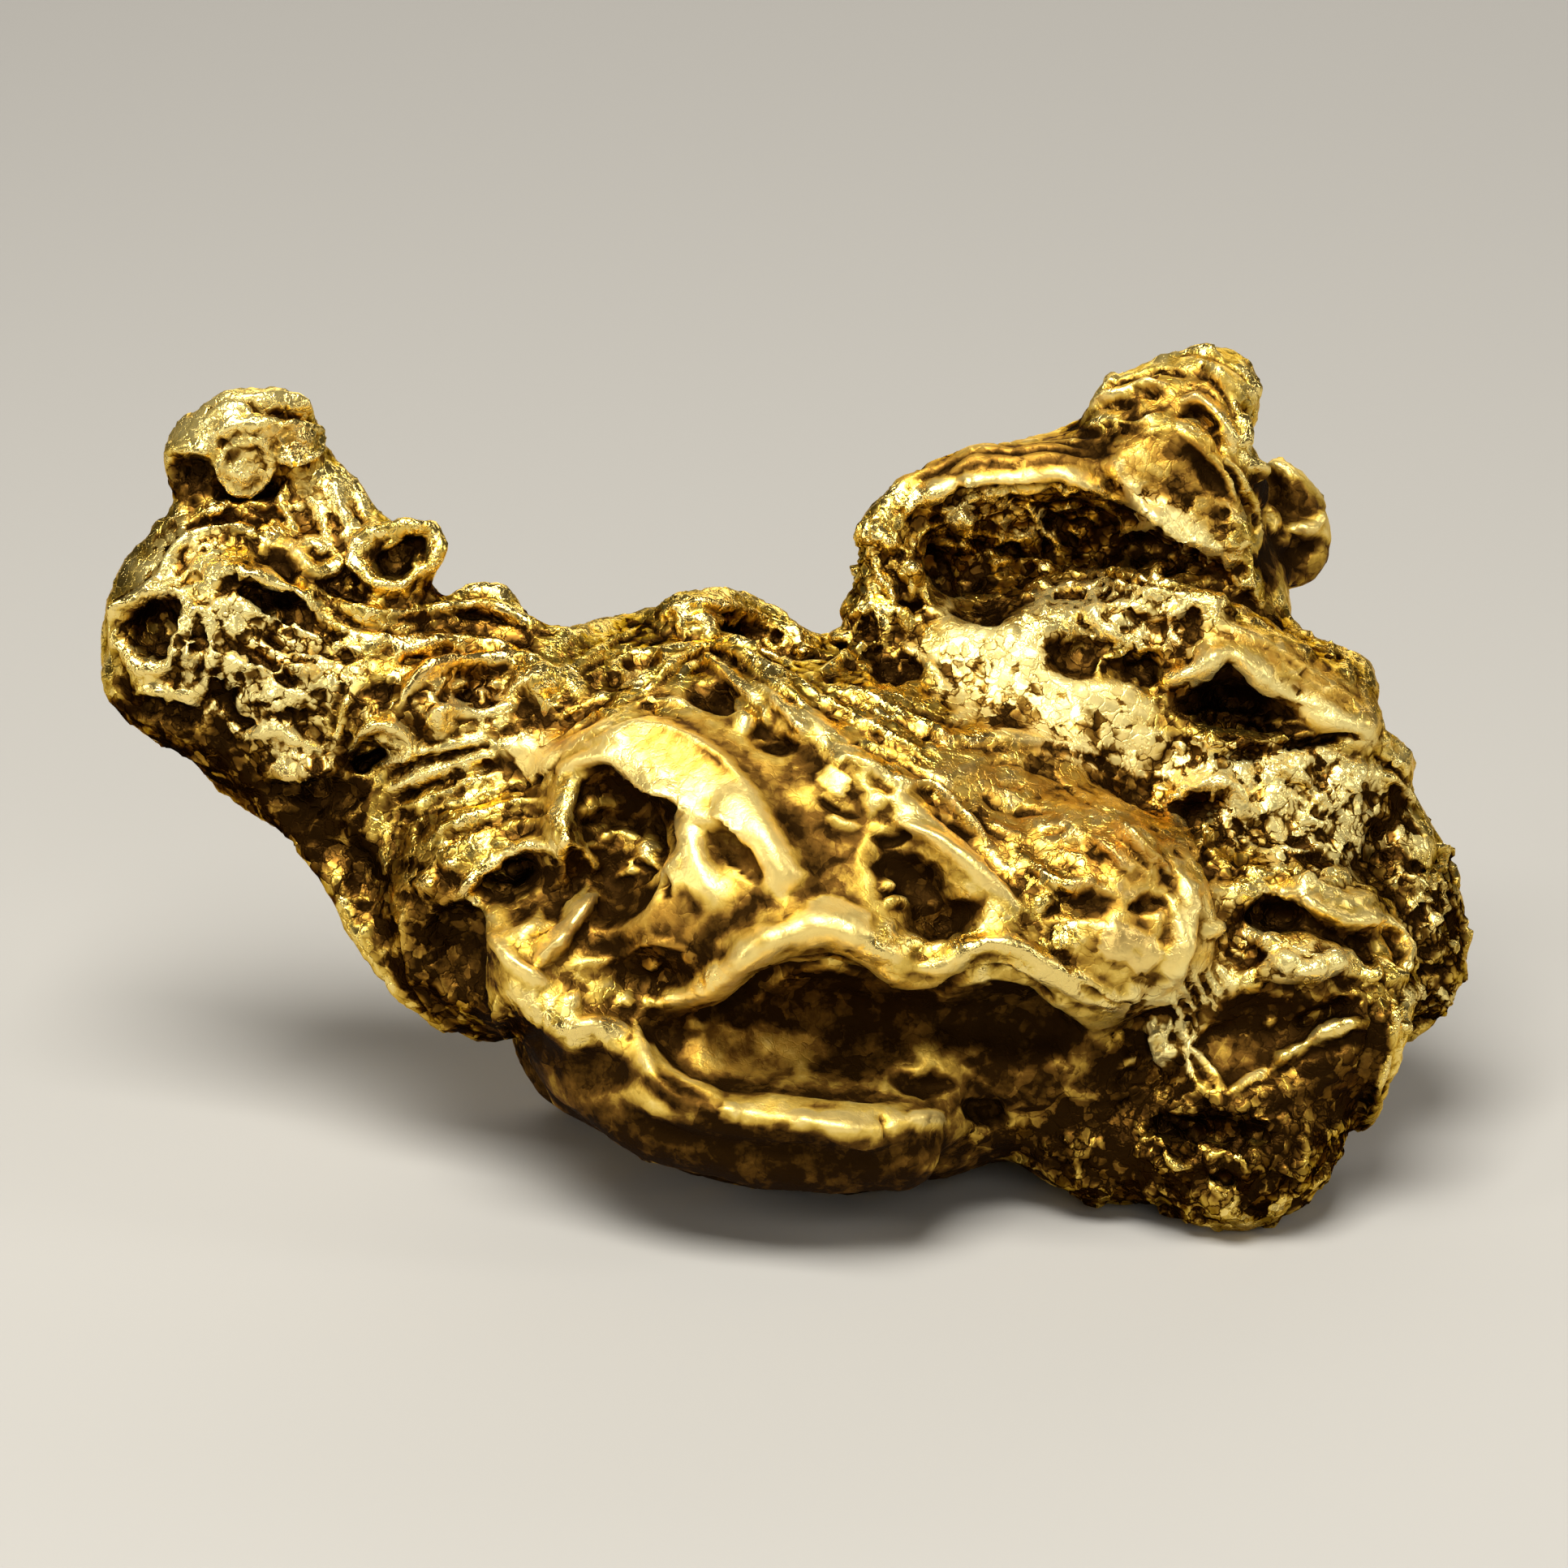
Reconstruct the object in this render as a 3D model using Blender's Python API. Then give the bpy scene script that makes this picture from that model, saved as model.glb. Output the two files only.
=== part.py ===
"""A natural gold nugget, 25 mm across: one lump with a knobbed arm, a hollow horn and a lipped ledge.

The nugget is modelled in millimetres in a face frame: X across it, Y into its depth and Z up its face.
Lumps and limbs melt into one skin, hollows and pits are cut out of that, and ridges and beads grow on the
cut skin. Then the nugget leans back onto its worn feet, and its origin is on the ground under its middle.

Pits, ridges and beads are drawn on a plane through the middle, as an eye in front of the nugget, behind it
or under it sees them, and are thrown along that line of sight onto the skin.
"""

import math

import bmesh
import bpy
from mathutils import Euler, Matrix, Vector
from mathutils.bvhtree import BVHTree

MM = 0.001

LEAN = math.radians(20)  # how far the face leans back when the nugget lies on its feet
GROUND = -6.82 * MM  # the height of the ground that the feet are worn to, from the face frame's origin
EYE_DISTANCE = 118  # mm from the eye to the plane that the fine shapes are drawn on
BODY_VOXEL = 0.22 * MM
BODY_MELT = 6
SKIN_VOXEL = 0.17 * MM
SKIN_MELT = 2
LUMP_WIDTH = 1.3 * MM
LUMP_RISE = 0.34 * MM
LUMP_LEVEL = 0.6  # how much of the rise goes inwards
MOST_TRIANGLES = 9400

# Each lump is its centre, its radii and its turn in degrees about X, Y and Z.
LUMPS = {
    "core": ((0.0, 1.4, -1.9), (6.0, 3.6, 3.7), (0, 8, 0)),
    "shoulder": ((-4.8, 0.2, -1.85), (2.65, 2.8, 2.85), (0, 35, 0)),
    "ledge": ((0.9, -2.2, -0.9), (5.3, 1.8, 3.7), (-37, 8, 0)),
    "ledge_end": ((5.3, -2.6, -2.2), (2.1, 1.9, 2.2), (-30, 0, 0)),
    "cheek": ((-3.8, -2.3, -3.5), (1.7, 1.5, 1.4), (0, 20, 0)),
    "belly": ((0.0, -0.9, -5.1), (4.7, 2.8, 2.15), (0, 8, 0)),
    "throat": ((4.4, -0.7, -4.7), (2.6, 2.3, 2.1), (0, 0, 0)),
    "under_throat": ((5.9, -1.1, -6.2), (1.9, 1.5, 1.35), (20, 0, 0)),
    "right_block": ((8.2, -0.1, -3.8), (3.0, 2.9, 3.3), (0, -10, 0)),
    "block_face": ((8.7, -1.6, -3.9), (2.4, 1.6, 2.4), (0, -10, 0)),
    "right_back": ((11.0, 1.6, -2.5), (1.55, 2.0, 2.4), (0, -4, 0)),
    "right_middle": ((8.0, 1.4, -0.2), (3.35, 2.8, 3.1), (0, 20, 0)),
    "edge_upper": ((10.0, 0.9, 1.8), (0.95, 1.0, 0.8), (0, 0, 0)),
    "edge_middle": ((10.7, 1.0, 0.3), (1.0, 1.2, 0.75), (0, 0, 0)),
    "slope": ((4.8, 0.4, 1.2), (3.2, 2.2, 2.4), (0, 20, 0)),
    "arm_end": ((-10.15, 0.4, 2.75), (2.3, 1.8, 2.4), (0, -15, 0)),
    "cap": ((-9.8, 0.3, 6.4), (1.5, 1.1, 0.84), (0, -15, 0)),
    "cap_lobe": ((-10.7, 0.2, 5.7), (0.65, 0.8, 0.5), (0, 0, 0)),
    "cap_back": ((-10.1, 1.0, 5.0), (0.9, 0.7, 1.0), (0, 0, 0)),
    "ring_knob": ((-7.0, -0.5, 4.0), (0.82, 0.8, 0.82), (0, 0, 0)),
    "saddle_knob": ((-5.4, 0.4, 3.2), (0.75, 0.7, 0.45), (0, 0, 0)),
    "horn_root": ((6.9, 1.9, 3.4), (2.5, 1.9, 2.3), (0, 0, 0)),
    "horn_wall": ((4.3, 2.6, 3.9), (3.2, 1.2, 2.0), (0, 0, 0)),
    "horn_roof": ((4.7, 1.3, 5.4), (3.5, 1.6, 1.0), (0, -14, 0)),
    "horn_facet": ((6.9, 0.6, 5.5), (1.7, 1.4, 1.7), (0, 0, 0)),
    "horn_peak": ((7.1, 1.0, 6.9), (1.7, 1.2, 1.05), (0, -20, 0)),
    "peak_lobe": ((8.2, 1.5, 6.9), (0.7, 0.8, 0.8), (0, 0, 0)),
    "back_knob": ((9.35, 3.2, 4.8), (0.9, 0.95, 1.25), (0, -10, 0)),
    "hind_shelf": ((9.4, 0.9, 2.2), (1.1, 1.0, 0.6), (0, 0, 0)),
    "hind_shoulder": ((-4.4, 3.0, -1.0), (2.3, 1.7, 2.2), (0, 30, 0)),
    "hind_hump": ((0.9, 4.1, 0.0), (2.8, 1.7, 2.3), (0, -20, 0)),
    "hind_right": ((7.6, 3.5, -1.2), (2.3, 1.6, 2.5), (0, 15, 0)),
    "hind_low": ((1.2, 3.9, -3.3), (2.3, 1.5, 1.5), (0, 0, 0)),
    "hind_arm": ((-8.7, 1.5, 1.7), (1.8, 1.3, 1.3), (0, 30, 0)),
    "right_foot": ((8.0, -1.8, -6.36), (2.1, 1.6, 1.6), (20, 0, 0)),
    "keel_foot": ((1.0, -0.5, -6.2), (1.5, 1.3, 1.25), (20, 0, 0)),
    "hind_left_foot": ((-3.3, 2.9, -4.3), (1.8, 1.6, 2.0), (0, 10, 0)),
    "hind_right_foot": ((5.0, 3.4, -4.0), (2.1, 1.7, 2.0), (0, -10, 0)),
}

# Each limb is the points that it passes through, with its radius at each.
LIMBS = {
    "arm": [(-9.6, 0.4, 2.4, 1.7), (-7.4, 0.3, 1.6, 1.9), (-5.0, 0.4, 0.8, 2.2), (-2.5, 0.8, 0.2, 2.6)],
    "keel": [
        (-11.2, 0.4, 2.0, 1.0), (-9.7, 0.4, 1.0, 1.25), (-7.8, 0.4, 0.0, 1.35),
        (-5.9, 0.4, -1.5, 1.8),
    ],
    "neck": [
        (-7.3, 0.3, 3.4, 0.95), (-8.0, 0.4, 4.6, 0.78), (-8.9, 0.4, 5.8, 0.78),
        (-9.4, 0.3, 6.3, 0.75),
    ],
    "saddle": [(-6.4, 0.6, 2.3, 0.9), (-4.0, 1.3, 2.0, 0.85), (-1.6, 1.9, 2.3, 0.95), (1.0, 1.9, 1.9, 0.9)],
    "strut": [(1.9, 0.3, 4.5, 0.65), (1.95, 0.2, 3.5, 0.75), (1.7, 0.3, 2.6, 0.8), (3.2, 0.4, 1.0, 1.2)],
    "shelf": [
        (4.9, -0.3, 2.6, 0.9), (6.6, -0.4, 2.8, 0.95), (8.4, -0.5, 2.2, 0.95),
        (10.2, -0.1, 1.2, 0.7),
    ],
    "jaw": [
        (-3.6, -2.2, -4.9, 0.9), (-2.4, -3.2, -5.7, 0.9), (-0.2, -3.6, -6.3, 0.9),
        (2.0, -3.4, -6.4, 0.9),
    ],
}

# Each hollow is cut out of the melted lumps and limbs: its centre, radii and turn.
HOLLOWS = {
    "horn_cave": ((5.2, -0.6, 4.35), (3.0, 2.3, 1.12), (0, -6, 0)),
    "cave_throat": ((3.6, -0.6, 3.6), (0.8, 1.3, 0.8), (0, 0, 0)),
    "mouth": ((0.9, -5.6, -4.3), (3.7, 3.0, 1.4), (0, 4, 0)),
    "mouth_corner": ((4.2, -4.6, -4.4), (1.8, 2.2, 1.1), (0, 0, 0)),
    "eye": ((8.6, -1.7, 1.3), (1.6, 1.6, 0.65), (0, 8, 0)),
    "under_cap": ((-10.5, -1.3, 5.0), (1.2, 1.3, 0.32), (0, -12, 0)),
}

# Each pit is bitten into the skin where it is drawn: across, up, its two radii, its depth and its turn.
FRONT_PITS = {
    "cap_slot": (-9.15, 6.82, 0.5, 0.17, 0.3, -5),
    "arm_left": (-11.4, 2.85, 0.45, 0.55, 0.6, 15),
    "arm_upper": (-9.6, 4.3, 0.3, 0.25, 0.3, 0),
    "arm_groove": (-8.55, 2.85, 1.0, 0.4, 0.5, 20),
    "arm_ring": (-10.3, 1.6, 0.28, 0.28, 0.3, 0),
    "ring_knob": (-7.0, 4.0, 0.48, 0.45, 0.5, 0),
    "arm_notch": (-7.7, 0.5, 0.5, 0.5, 0.7, 0),
    "saddle": (-5.5, 1.8, 0.6, 0.45, 0.5, 10),
    "ledge_hollow": (-2.9, -0.5, 1.2, 0.95, 1.3, 25),
    "ledge_hollow_low": (-3.3, -1.8, 1.1, 0.8, 1.2, -15),
    "ledge_hollow_left": (-5.0, -1.7, 0.7, 0.4, 0.6, -20),
    "shoulder_dish": (-5.9, -3.2, 0.85, 1.15, 0.6, 20),
    "crest": (-1.35, 1.65, 0.6, 0.4, 0.5, 25),
    "crest_right": (-0.2, 0.9, 0.7, 0.4, 0.5, 30),
    "ridge_dimple": (-1.1, -1.1, 0.4, 0.5, 0.3, 25),
    "ledge_valley": (2.6, -1.9, 1.1, 0.7, 0.5, 40),
    "shelf_pocket": (5.35, 2.35, 0.65, 0.5, 0.7, 0),
    "shelf_pit": (6.4, 2.1, 0.45, 0.3, 0.5, 0),
    "rim_hollow": (8.9, -2.2, 0.7, 0.35, 0.5, 10),
    "rim_corner": (10.6, -2.9, 0.35, 0.4, 0.5, 0),
    "block_hollow": (8.9, -4.6, 1.8, 0.95, 0.7, -10),
    "block_under": (7.3, -6.3, 1.6, 0.4, 0.6, 5),
    "mouth_end": (3.3, -5.9, 0.8, 0.35, 0.9, 15),
    "back_knob": (8.85, 5.5, 0.4, 0.3, 0.4, 30),
    "back_knob_low": (9.2, 4.2, 0.4, 0.3, 0.3, 0),
}

BACK_PITS = {
    "hump": (1.0, 0.4, 1.3, 0.9, 0.8, 20),
    "shoulder": (-4.2, -1.0, 1.0, 0.7, 0.7, -20),
    "right": (7.8, -0.8, 1.1, 0.8, 0.8, 10),
    "horn": (5.2, 3.6, 1.2, 0.6, 0.6, 10),
    "arm": (-8.8, 1.6, 0.8, 0.5, 0.5, 30),
    "between": (3.6, -2.2, 0.8, 0.7, 0.7, 0),
    "flank": (-1.6, -2.4, 0.9, 0.5, 0.6, 30),
    "right_end": (10.6, -3.0, 0.7, 0.8, 0.5, 0),
    "wall": (2.4, 4.4, 0.6, 0.5, 0.4, 0),
    "elbow": (-6.6, 0.6, 0.6, 0.5, 0.5, 0),
    "peak": (7.4, 6.2, 0.5, 0.4, 0.4, 0),
    "low": (1.5, -4.2, 1.0, 0.5, 0.5, 0),
}
UNDER_PITS = {
    "middle": (-0.4, 1.6, 1.1, 0.8, 0.6, 20),
    "right": (3.0, 1.6, 0.9, 0.7, 0.6, -10),
    "block": (6.6, 1.0, 0.9, 0.6, 0.5, 0),
    "belly": (-2.4, -0.8, 0.9, 0.6, 0.4, 30),
    "end": (9.6, 0.4, 0.6, 0.8, 0.5, 0),
    "arm": (-8.4, 0.6, 0.9, 0.5, 0.4, 10),
}

# Each ridge is drawn as the points that it passes through, across and up, with its radius at each.
FRONT_RIDGES = {
    "arm": [
        (-10.3, 3.75, 0.22), (-9.2, 3.75, 0.28), (-8.5, 3.2, 0.28), (-7.6, 2.75, 0.25),
        (-6.4, 2.5, 0.2),
    ],
    "arm_spur": [(-9.4, 1.5, 0.3), (-9.0, 0.7, 0.35), (-8.4, 0.3, 0.3)],
    "arm_crescent": [(-7.9, 0.85, 0.22), (-7.5, 1.05, 0.26), (-7.1, 0.85, 0.26), (-6.8, 0.5, 0.2)],
    "crest_line": [
        (-7.8, 3.0, 0.3), (-6.3, 3.15, 0.32), (-5.1, 3.0, 0.32), (-4.4, 2.5, 0.3), (-3.9, 1.7, 0.3),
    ],
    "cap_crescent": [(-9.1, 6.15, 0.18), (-8.75, 5.9, 0.22), (-8.4, 6.1, 0.18)],
    "rear_rim": [
        (-4.0, 2.5, 0.35), (-2.6, 2.8, 0.35), (-1.6, 3.15, 0.4), (-0.6, 3.0, 0.4), (0.2, 2.6, 0.35),
    ],
    "crest": [
        (-3.2, 1.0, 0.25), (-2.2, 2.0, 0.35), (-1.4, 2.35, 0.4), (-0.6, 2.0, 0.35),
        (0.6, 0.9, 0.35), (2.2, -0.5, 0.35), (3.6, -2.0, 0.4), (4.3, -2.8, 0.35),
    ],
    "ledge_bow": [
        (-4.2, 0.3, 0.3), (-3.0, 0.75, 0.45), (-1.8, 0.4, 0.5), (-0.7, -0.6, 0.45),
        (0.0, -1.6, 0.4),
    ],
    "hollow_edge": [(-4.9, -2.9, 0.3), (-4.1, -2.6, 0.3), (-3.4, -1.95, 0.25)],
    "upper_lip": [
        (-2.6, -4.05, 0.35), (-1.3, -3.6, 0.4), (-0.5, -2.9, 0.45), (0.6, -2.6, 0.45),
        (1.5, -2.8, 0.4), (2.3, -3.35, 0.4), (3.5, -2.95, 0.45), (4.5, -3.3, 0.45),
        (5.5, -4.0, 0.4),
    ],
    "lower_lip": [
        (-3.9, -4.4, 0.4), (-3.0, -4.8, 0.5), (-2.2, -5.6, 0.5), (-0.9, -6.0, 0.5),
        (0.5, -6.2, 0.5), (1.6, -6.3, 0.5), (2.9, -6.1, 0.5),
    ],
    "left_cheek": [(-5.2, -2.6, 0.3), (-4.6, -3.8, 0.35), (-3.9, -4.4, 0.4)],
    "brow": [
        (1.5, 4.5, 0.35), (2.4, 5.1, 0.42), (3.7, 5.55, 0.42), (5.2, 5.65, 0.42), (6.3, 5.1, 0.45),
        (7.5, 4.55, 0.45), (8.2, 3.8, 0.4),
    ],
    "horn_edge": [(8.3, 3.6, 0.3), (8.5, 4.8, 0.3), (8.3, 6.0, 0.3), (7.8, 7.3, 0.3)],
    "roof_fold": [(6.8, 6.4, 0.25), (7.5, 6.2, 0.25), (8.2, 5.3, 0.25)],
    "shelf_edge": [(4.6, 3.4, 0.3), (5.4, 3.6, 0.35), (6.6, 3.5, 0.35), (7.8, 3.2, 0.35)],
    "eyelid": [(7.0, 1.7, 0.3), (8.0, 2.3, 0.42), (8.9, 1.65, 0.42), (9.7, 1.15, 0.4), (10.5, 1.0, 0.3)],
    "under_eye": [(7.0, 1.1, 0.25), (8.0, 0.75, 0.28), (9.3, 0.8, 0.2)],
    "lower_eyelid": [(6.9, -0.3, 0.22), (7.5, 0.0, 0.28), (8.2, -0.35, 0.22)],
    "ledge_side": [
        (2.8, 0.85, 0.2), (5.1, 0.6, 0.25), (6.5, -0.4, 0.3), (7.3, -1.7, 0.35), (7.45, -2.8, 0.4),
        (6.9, -3.7, 0.4),
    ],
    "block_rim": [
        (8.1, -2.0, 0.3), (9.0, -1.75, 0.36), (10.0, -2.3, 0.36), (10.8, -2.35, 0.38),
        (11.15, -3.1, 0.34), (11.05, -4.5, 0.3), (10.5, -6.1, 0.25),
    ],
    "block_bar": [(8.8, -5.0, 0.2), (9.7, -4.6, 0.25), (10.5, -4.25, 0.22)],
    "block_corner": [(7.3, -4.7, 0.18), (7.9, -5.5, 0.2), (8.8, -5.2, 0.18)],
    "block_squiggle": [(6.5, -6.4, 0.2), (7.1, -6.85, 0.2), (7.7, -6.7, 0.2), (8.3, -6.9, 0.2)],
}

BACK_RIDGES = {
    "hump": [(-2.6, 2.2, 0.3), (-0.6, 1.9, 0.4), (1.2, 2.1, 0.4), (2.6, 1.4, 0.4), (3.4, 0.2, 0.3)],
    "sweep": [(-6.8, 2.6, 0.3), (-5.2, 1.2, 0.4), (-3.4, 0.8, 0.45), (-1.8, -0.4, 0.4), (-1.2, -1.8, 0.3)],
    "right": [
        (9.6, 2.2, 0.3), (8.8, 0.9, 0.4), (6.6, 1.1, 0.4), (5.2, -0.3, 0.4), (5.6, -1.8, 0.4),
        (6.8, -3.0, 0.3),
    ],
    "horn": [(2.6, 5.3, 0.3), (4.2, 4.8, 0.4), (6.0, 5.2, 0.4), (7.6, 4.2, 0.3)],
    "low": [(-3.8, -3.0, 0.3), (-2.2, -3.8, 0.35), (-0.6, -3.6, 0.35), (0.8, -3.2, 0.3)],
    "arm": [(-10.8, 3.0, 0.3), (-9.4, 2.8, 0.4), (-7.8, 1.2, 0.4), (-6.2, -0.4, 0.35), (-5.4, -1.8, 0.3)],
    "end": [(11.2, -1.4, 0.3), (9.8, -1.9, 0.35), (9.2, -3.4, 0.35), (10.0, -4.6, 0.3)],
}
UNDER_RIDGES = {
    "middle": [(-3.0, 0.2, 0.3), (-1.4, 0.6, 0.4), (1.4, 0.5, 0.4), (3.6, 0.9, 0.35), (5.2, 0.4, 0.3)],
    "belly": [(-4.2, -1.4, 0.25), (-2.4, -2.2, 0.3), (-0.4, -2.0, 0.3)],
    "arm": [(-10.4, 1.0, 0.3), (-8.8, 0.0, 0.35), (-7.0, -0.4, 0.3), (-5.6, 0.6, 0.3)],
    "end": [(8.0, 1.6, 0.3), (9.2, 1.2, 0.35), (10.6, 1.8, 0.3)],
}

# Each bead is a small bump drawn on the skin: across, up, its two radii and its height.
FRONT_BEADS = {
    "cap_button": (-9.72, 5.8, 0.42, 0.42, 0.35),
    "cap_bump": (-8.95, 6.2, 0.45, 0.38, 0.3),
    "neck_foot": (-8.55, 4.0, 0.5, 0.45, 0.4),
    "saddle_ball": (-6.2, 1.1, 0.26, 0.26, 0.26),
    "saddle_lump": (-4.4, 1.75, 0.5, 0.45, 0.35),
    "arm_lump": (-9.0, 1.75, 0.6, 0.4, 0.3),
    "block_lump": (9.4, -3.3, 0.65, 0.3, 0.4),
    "end_bulge": (6.9, -2.7, 0.55, 0.8, 0.4),
    "slope_lump": (6.3, -1.2, 0.6, 0.5, 0.3),
}
BACK_BEADS = {
    "hump": (-0.6, 0.6, 0.7, 0.6, 0.4),
    "shoulder": (-3.0, -1.6, 0.6, 0.5, 0.4),
    "horn": (3.4, 3.4, 0.6, 0.5, 0.35),
    "right": (8.8, 0.0, 0.6, 0.6, 0.4),
    "between": (4.6, -3.0, 0.7, 0.5, 0.4),
    "arm": (-7.2, 2.2, 0.6, 0.5, 0.35),
    "cap": (-9.6, 6.2, 0.6, 0.4, 0.3),
    "low": (-1.0, -4.6, 0.7, 0.5, 0.4),
}

# A view is the way from the middle to the eye, and which ways the drawing's across and up run.
FRONT_VIEW = (Vector((0, -1, 0)), Vector((1, 0, 0)), Vector((0, 0, 1)))
BACK_VIEW = (Vector((0, 1, 0)), Vector((1, 0, 0)), Vector((0, 0, 1)))
UNDER_VIEW = (Vector((0, 0, -1)), Vector((1, 0, 0)), Vector((0, 1, 0)))
SIDES = (
    {"view": FRONT_VIEW, "pits": FRONT_PITS, "ridges": FRONT_RIDGES, "beads": FRONT_BEADS},
    {"view": BACK_VIEW, "pits": BACK_PITS, "ridges": BACK_RIDGES, "beads": BACK_BEADS},
    {"view": UNDER_VIEW, "pits": UNDER_PITS, "ridges": UNDER_RIDGES, "beads": {}},
)


def ellipsoid(bm, centre, radii, turn):
    """Adds a turned ellipsoid to bm."""
    place = Matrix.LocRotScale(
        Vector(centre) * MM, Euler([math.radians(a) for a in turn]), Vector(radii) * MM
    )
    bmesh.ops.create_icosphere(bm, subdivisions=4, radius=1, matrix=place)


def limb(bm, points):
    """Adds a tapered tube with round ends through the points to bm."""
    curve = bpy.data.curves.new("limb", "CURVE")
    curve.dimensions = "3D"
    curve.bevel_depth = MM
    curve.bevel_resolution = 5
    curve.use_fill_caps = True
    spline = curve.splines.new("BEZIER")
    spline.bezier_points.add(len(points) - 1)
    for knot, (x, y, z, radius) in zip(spline.bezier_points, points):
        knot.co = Vector((x, y, z)) * MM
        knot.radius = radius
        knot.handle_left_type = knot.handle_right_type = "AUTO"
    guide = bpy.data.objects.new("limb", curve)
    bpy.context.scene.collection.objects.link(guide)
    bm.from_mesh(evaluated(guide))
    bpy.data.objects.remove(guide)
    for x, y, z, radius in (points[0], points[-1]):
        ellipsoid(bm, (x, y, z), (radius,) * 3, (0, 0, 0))


def evaluated(obj):
    """A plain mesh of the object as its modifiers leave it."""
    bpy.context.view_layer.update()
    graph = bpy.context.evaluated_depsgraph_get()
    return bpy.data.meshes.new_from_object(obj.evaluated_get(graph))


def thrown(skin, view, x, z):
    """Where the view's line of sight through the drawn point meets the skin, or passes it, in millimetres."""
    to_eye, across, up = view
    eye = to_eye * EYE_DISTANCE * MM
    drawn = (across * x + up * z) * MM
    hit = skin.ray_cast(eye, (drawn - eye).normalized())[0]
    if hit is None:
        nearest = skin.find_nearest(drawn)[0]
        hit = drawn + to_eye * nearest.dot(to_eye)
    return hit / MM


def dab(bm, skin, view, x, z, width, height, depth, turn=0):
    """Adds an ellipsoid to bm where it is drawn on the skin, turned in degrees about the line of sight."""
    to_eye, across, up = view
    axes = Matrix((across * width, up * height, to_eye * depth)).transposed().to_4x4()
    spin = Matrix.Rotation(math.radians(turn), 4, -to_eye)
    place = Matrix.Translation(thrown(skin, view, x, z)) @ spin @ axes
    bmesh.ops.create_icosphere(bm, subdivisions=3, radius=1, matrix=Matrix.Scale(MM, 4) @ place)


def object_of(name, bm):
    mesh = bpy.data.meshes.new(name)
    bm.to_mesh(mesh)
    bm.free()
    obj = bpy.data.objects.new(name, mesh)
    bpy.context.scene.collection.objects.link(obj)
    return obj


def melt(obj, voxel, passes):
    """Melts an object's overlapping shapes into one smooth skin."""
    remesh = obj.modifiers.new("skin", "REMESH")
    remesh.mode = "VOXEL"
    remesh.voxel_size = voxel
    smooth = obj.modifiers.new("melt", "SMOOTH")
    smooth.iterations = passes
    apply_modifiers(obj)


def apply_modifiers(obj):
    mesh = evaluated(obj)
    obj.modifiers.clear()
    obj.data = mesh


def skin_of(obj):
    bm = bmesh.new()
    bm.from_mesh(obj.data)
    tree = BVHTree.FromBMesh(bm)
    bm.free()
    return tree


def cast_body():
    """The nugget's bulk: its lumps and limbs, melted together."""
    bm = bmesh.new()
    for centre, radii, turn in LUMPS.values():
        ellipsoid(bm, centre, radii, turn)
    for points in LIMBS.values():
        limb(bm, points)
    body = object_of("nugget", bm)
    melt(body, BODY_VOXEL, BODY_MELT)
    lumps = bpy.data.textures.new("lumps", "CLOUDS")
    lumps.noise_scale = LUMP_WIDTH
    displace = body.modifiers.new("lumps", "DISPLACE")
    displace.texture = lumps
    displace.strength = LUMP_RISE
    displace.mid_level = LUMP_LEVEL
    apply_modifiers(body)
    return body


def cut_hollows(body):
    """Cuts the hollows and pits out of the bulk."""
    skin = skin_of(body)
    bm = bmesh.new()
    for centre, radii, turn in HOLLOWS.values():
        ellipsoid(bm, centre, radii, turn)
    for side in SIDES:
        for pit in side["pits"].values():
            dab(bm, skin, side["view"], *pit)
    cutter = object_of("cutter", bm)
    melt(cutter, SKIN_VOXEL, 1)
    boolean = body.modifiers.new("hollows", "BOOLEAN")
    boolean.operation = "DIFFERENCE"
    boolean.solver = "EXACT"
    boolean.object = cutter
    apply_modifiers(body)
    bpy.data.objects.remove(cutter)


def grow_ridges(body):
    """Grows the ridges and beads on the cut skin."""
    skin = skin_of(body)
    bm = bmesh.new()
    bm.from_mesh(body.data)
    for side in SIDES:
        for points in side["ridges"].values():
            limb(bm, [(*thrown(skin, side["view"], x, z), radius) for x, z, radius in points])
        for bead in side["beads"].values():
            dab(bm, skin, side["view"], *bead)
    bm.to_mesh(body.data)
    bm.free()
    melt(body, SKIN_VOXEL, SKIN_MELT)


def thin_out(obj, triangles):
    """Brings the skin down to this many triangles."""
    bm = bmesh.new()
    bm.from_mesh(obj.data)
    bmesh.ops.triangulate(bm, faces=bm.faces)
    bm.to_mesh(obj.data)
    bm.free()
    decimate = obj.modifiers.new("thin", "DECIMATE")
    decimate.ratio = triangles / len(obj.data.polygons)
    apply_modifiers(obj)


def wear_feet(nugget, lean):
    """Wears the lowest skin away to flats, all on the one plane that the leaning nugget stands on."""
    ground = lean.inverted()
    bm = bmesh.new()
    bm.from_mesh(nugget.data)
    everything = bm.verts[:] + bm.edges[:] + bm.faces[:]
    cut = bmesh.ops.bisect_plane(
        bm,
        geom=everything,
        plane_co=ground @ Vector((0, 0, GROUND)),
        plane_no=ground @ Vector((0, 0, 1)),
        clear_inner=True,
    )["geom_cut"]
    rims = [edge for edge in cut if isinstance(edge, bmesh.types.BMEdge)]
    flats = bmesh.ops.edgeloop_fill(bm, edges=rims)["faces"]
    bmesh.ops.triangulate(bm, faces=flats)
    bmesh.ops.recalc_face_normals(bm, faces=bm.faces)
    bm.to_mesh(nugget.data)
    bm.free()


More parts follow.
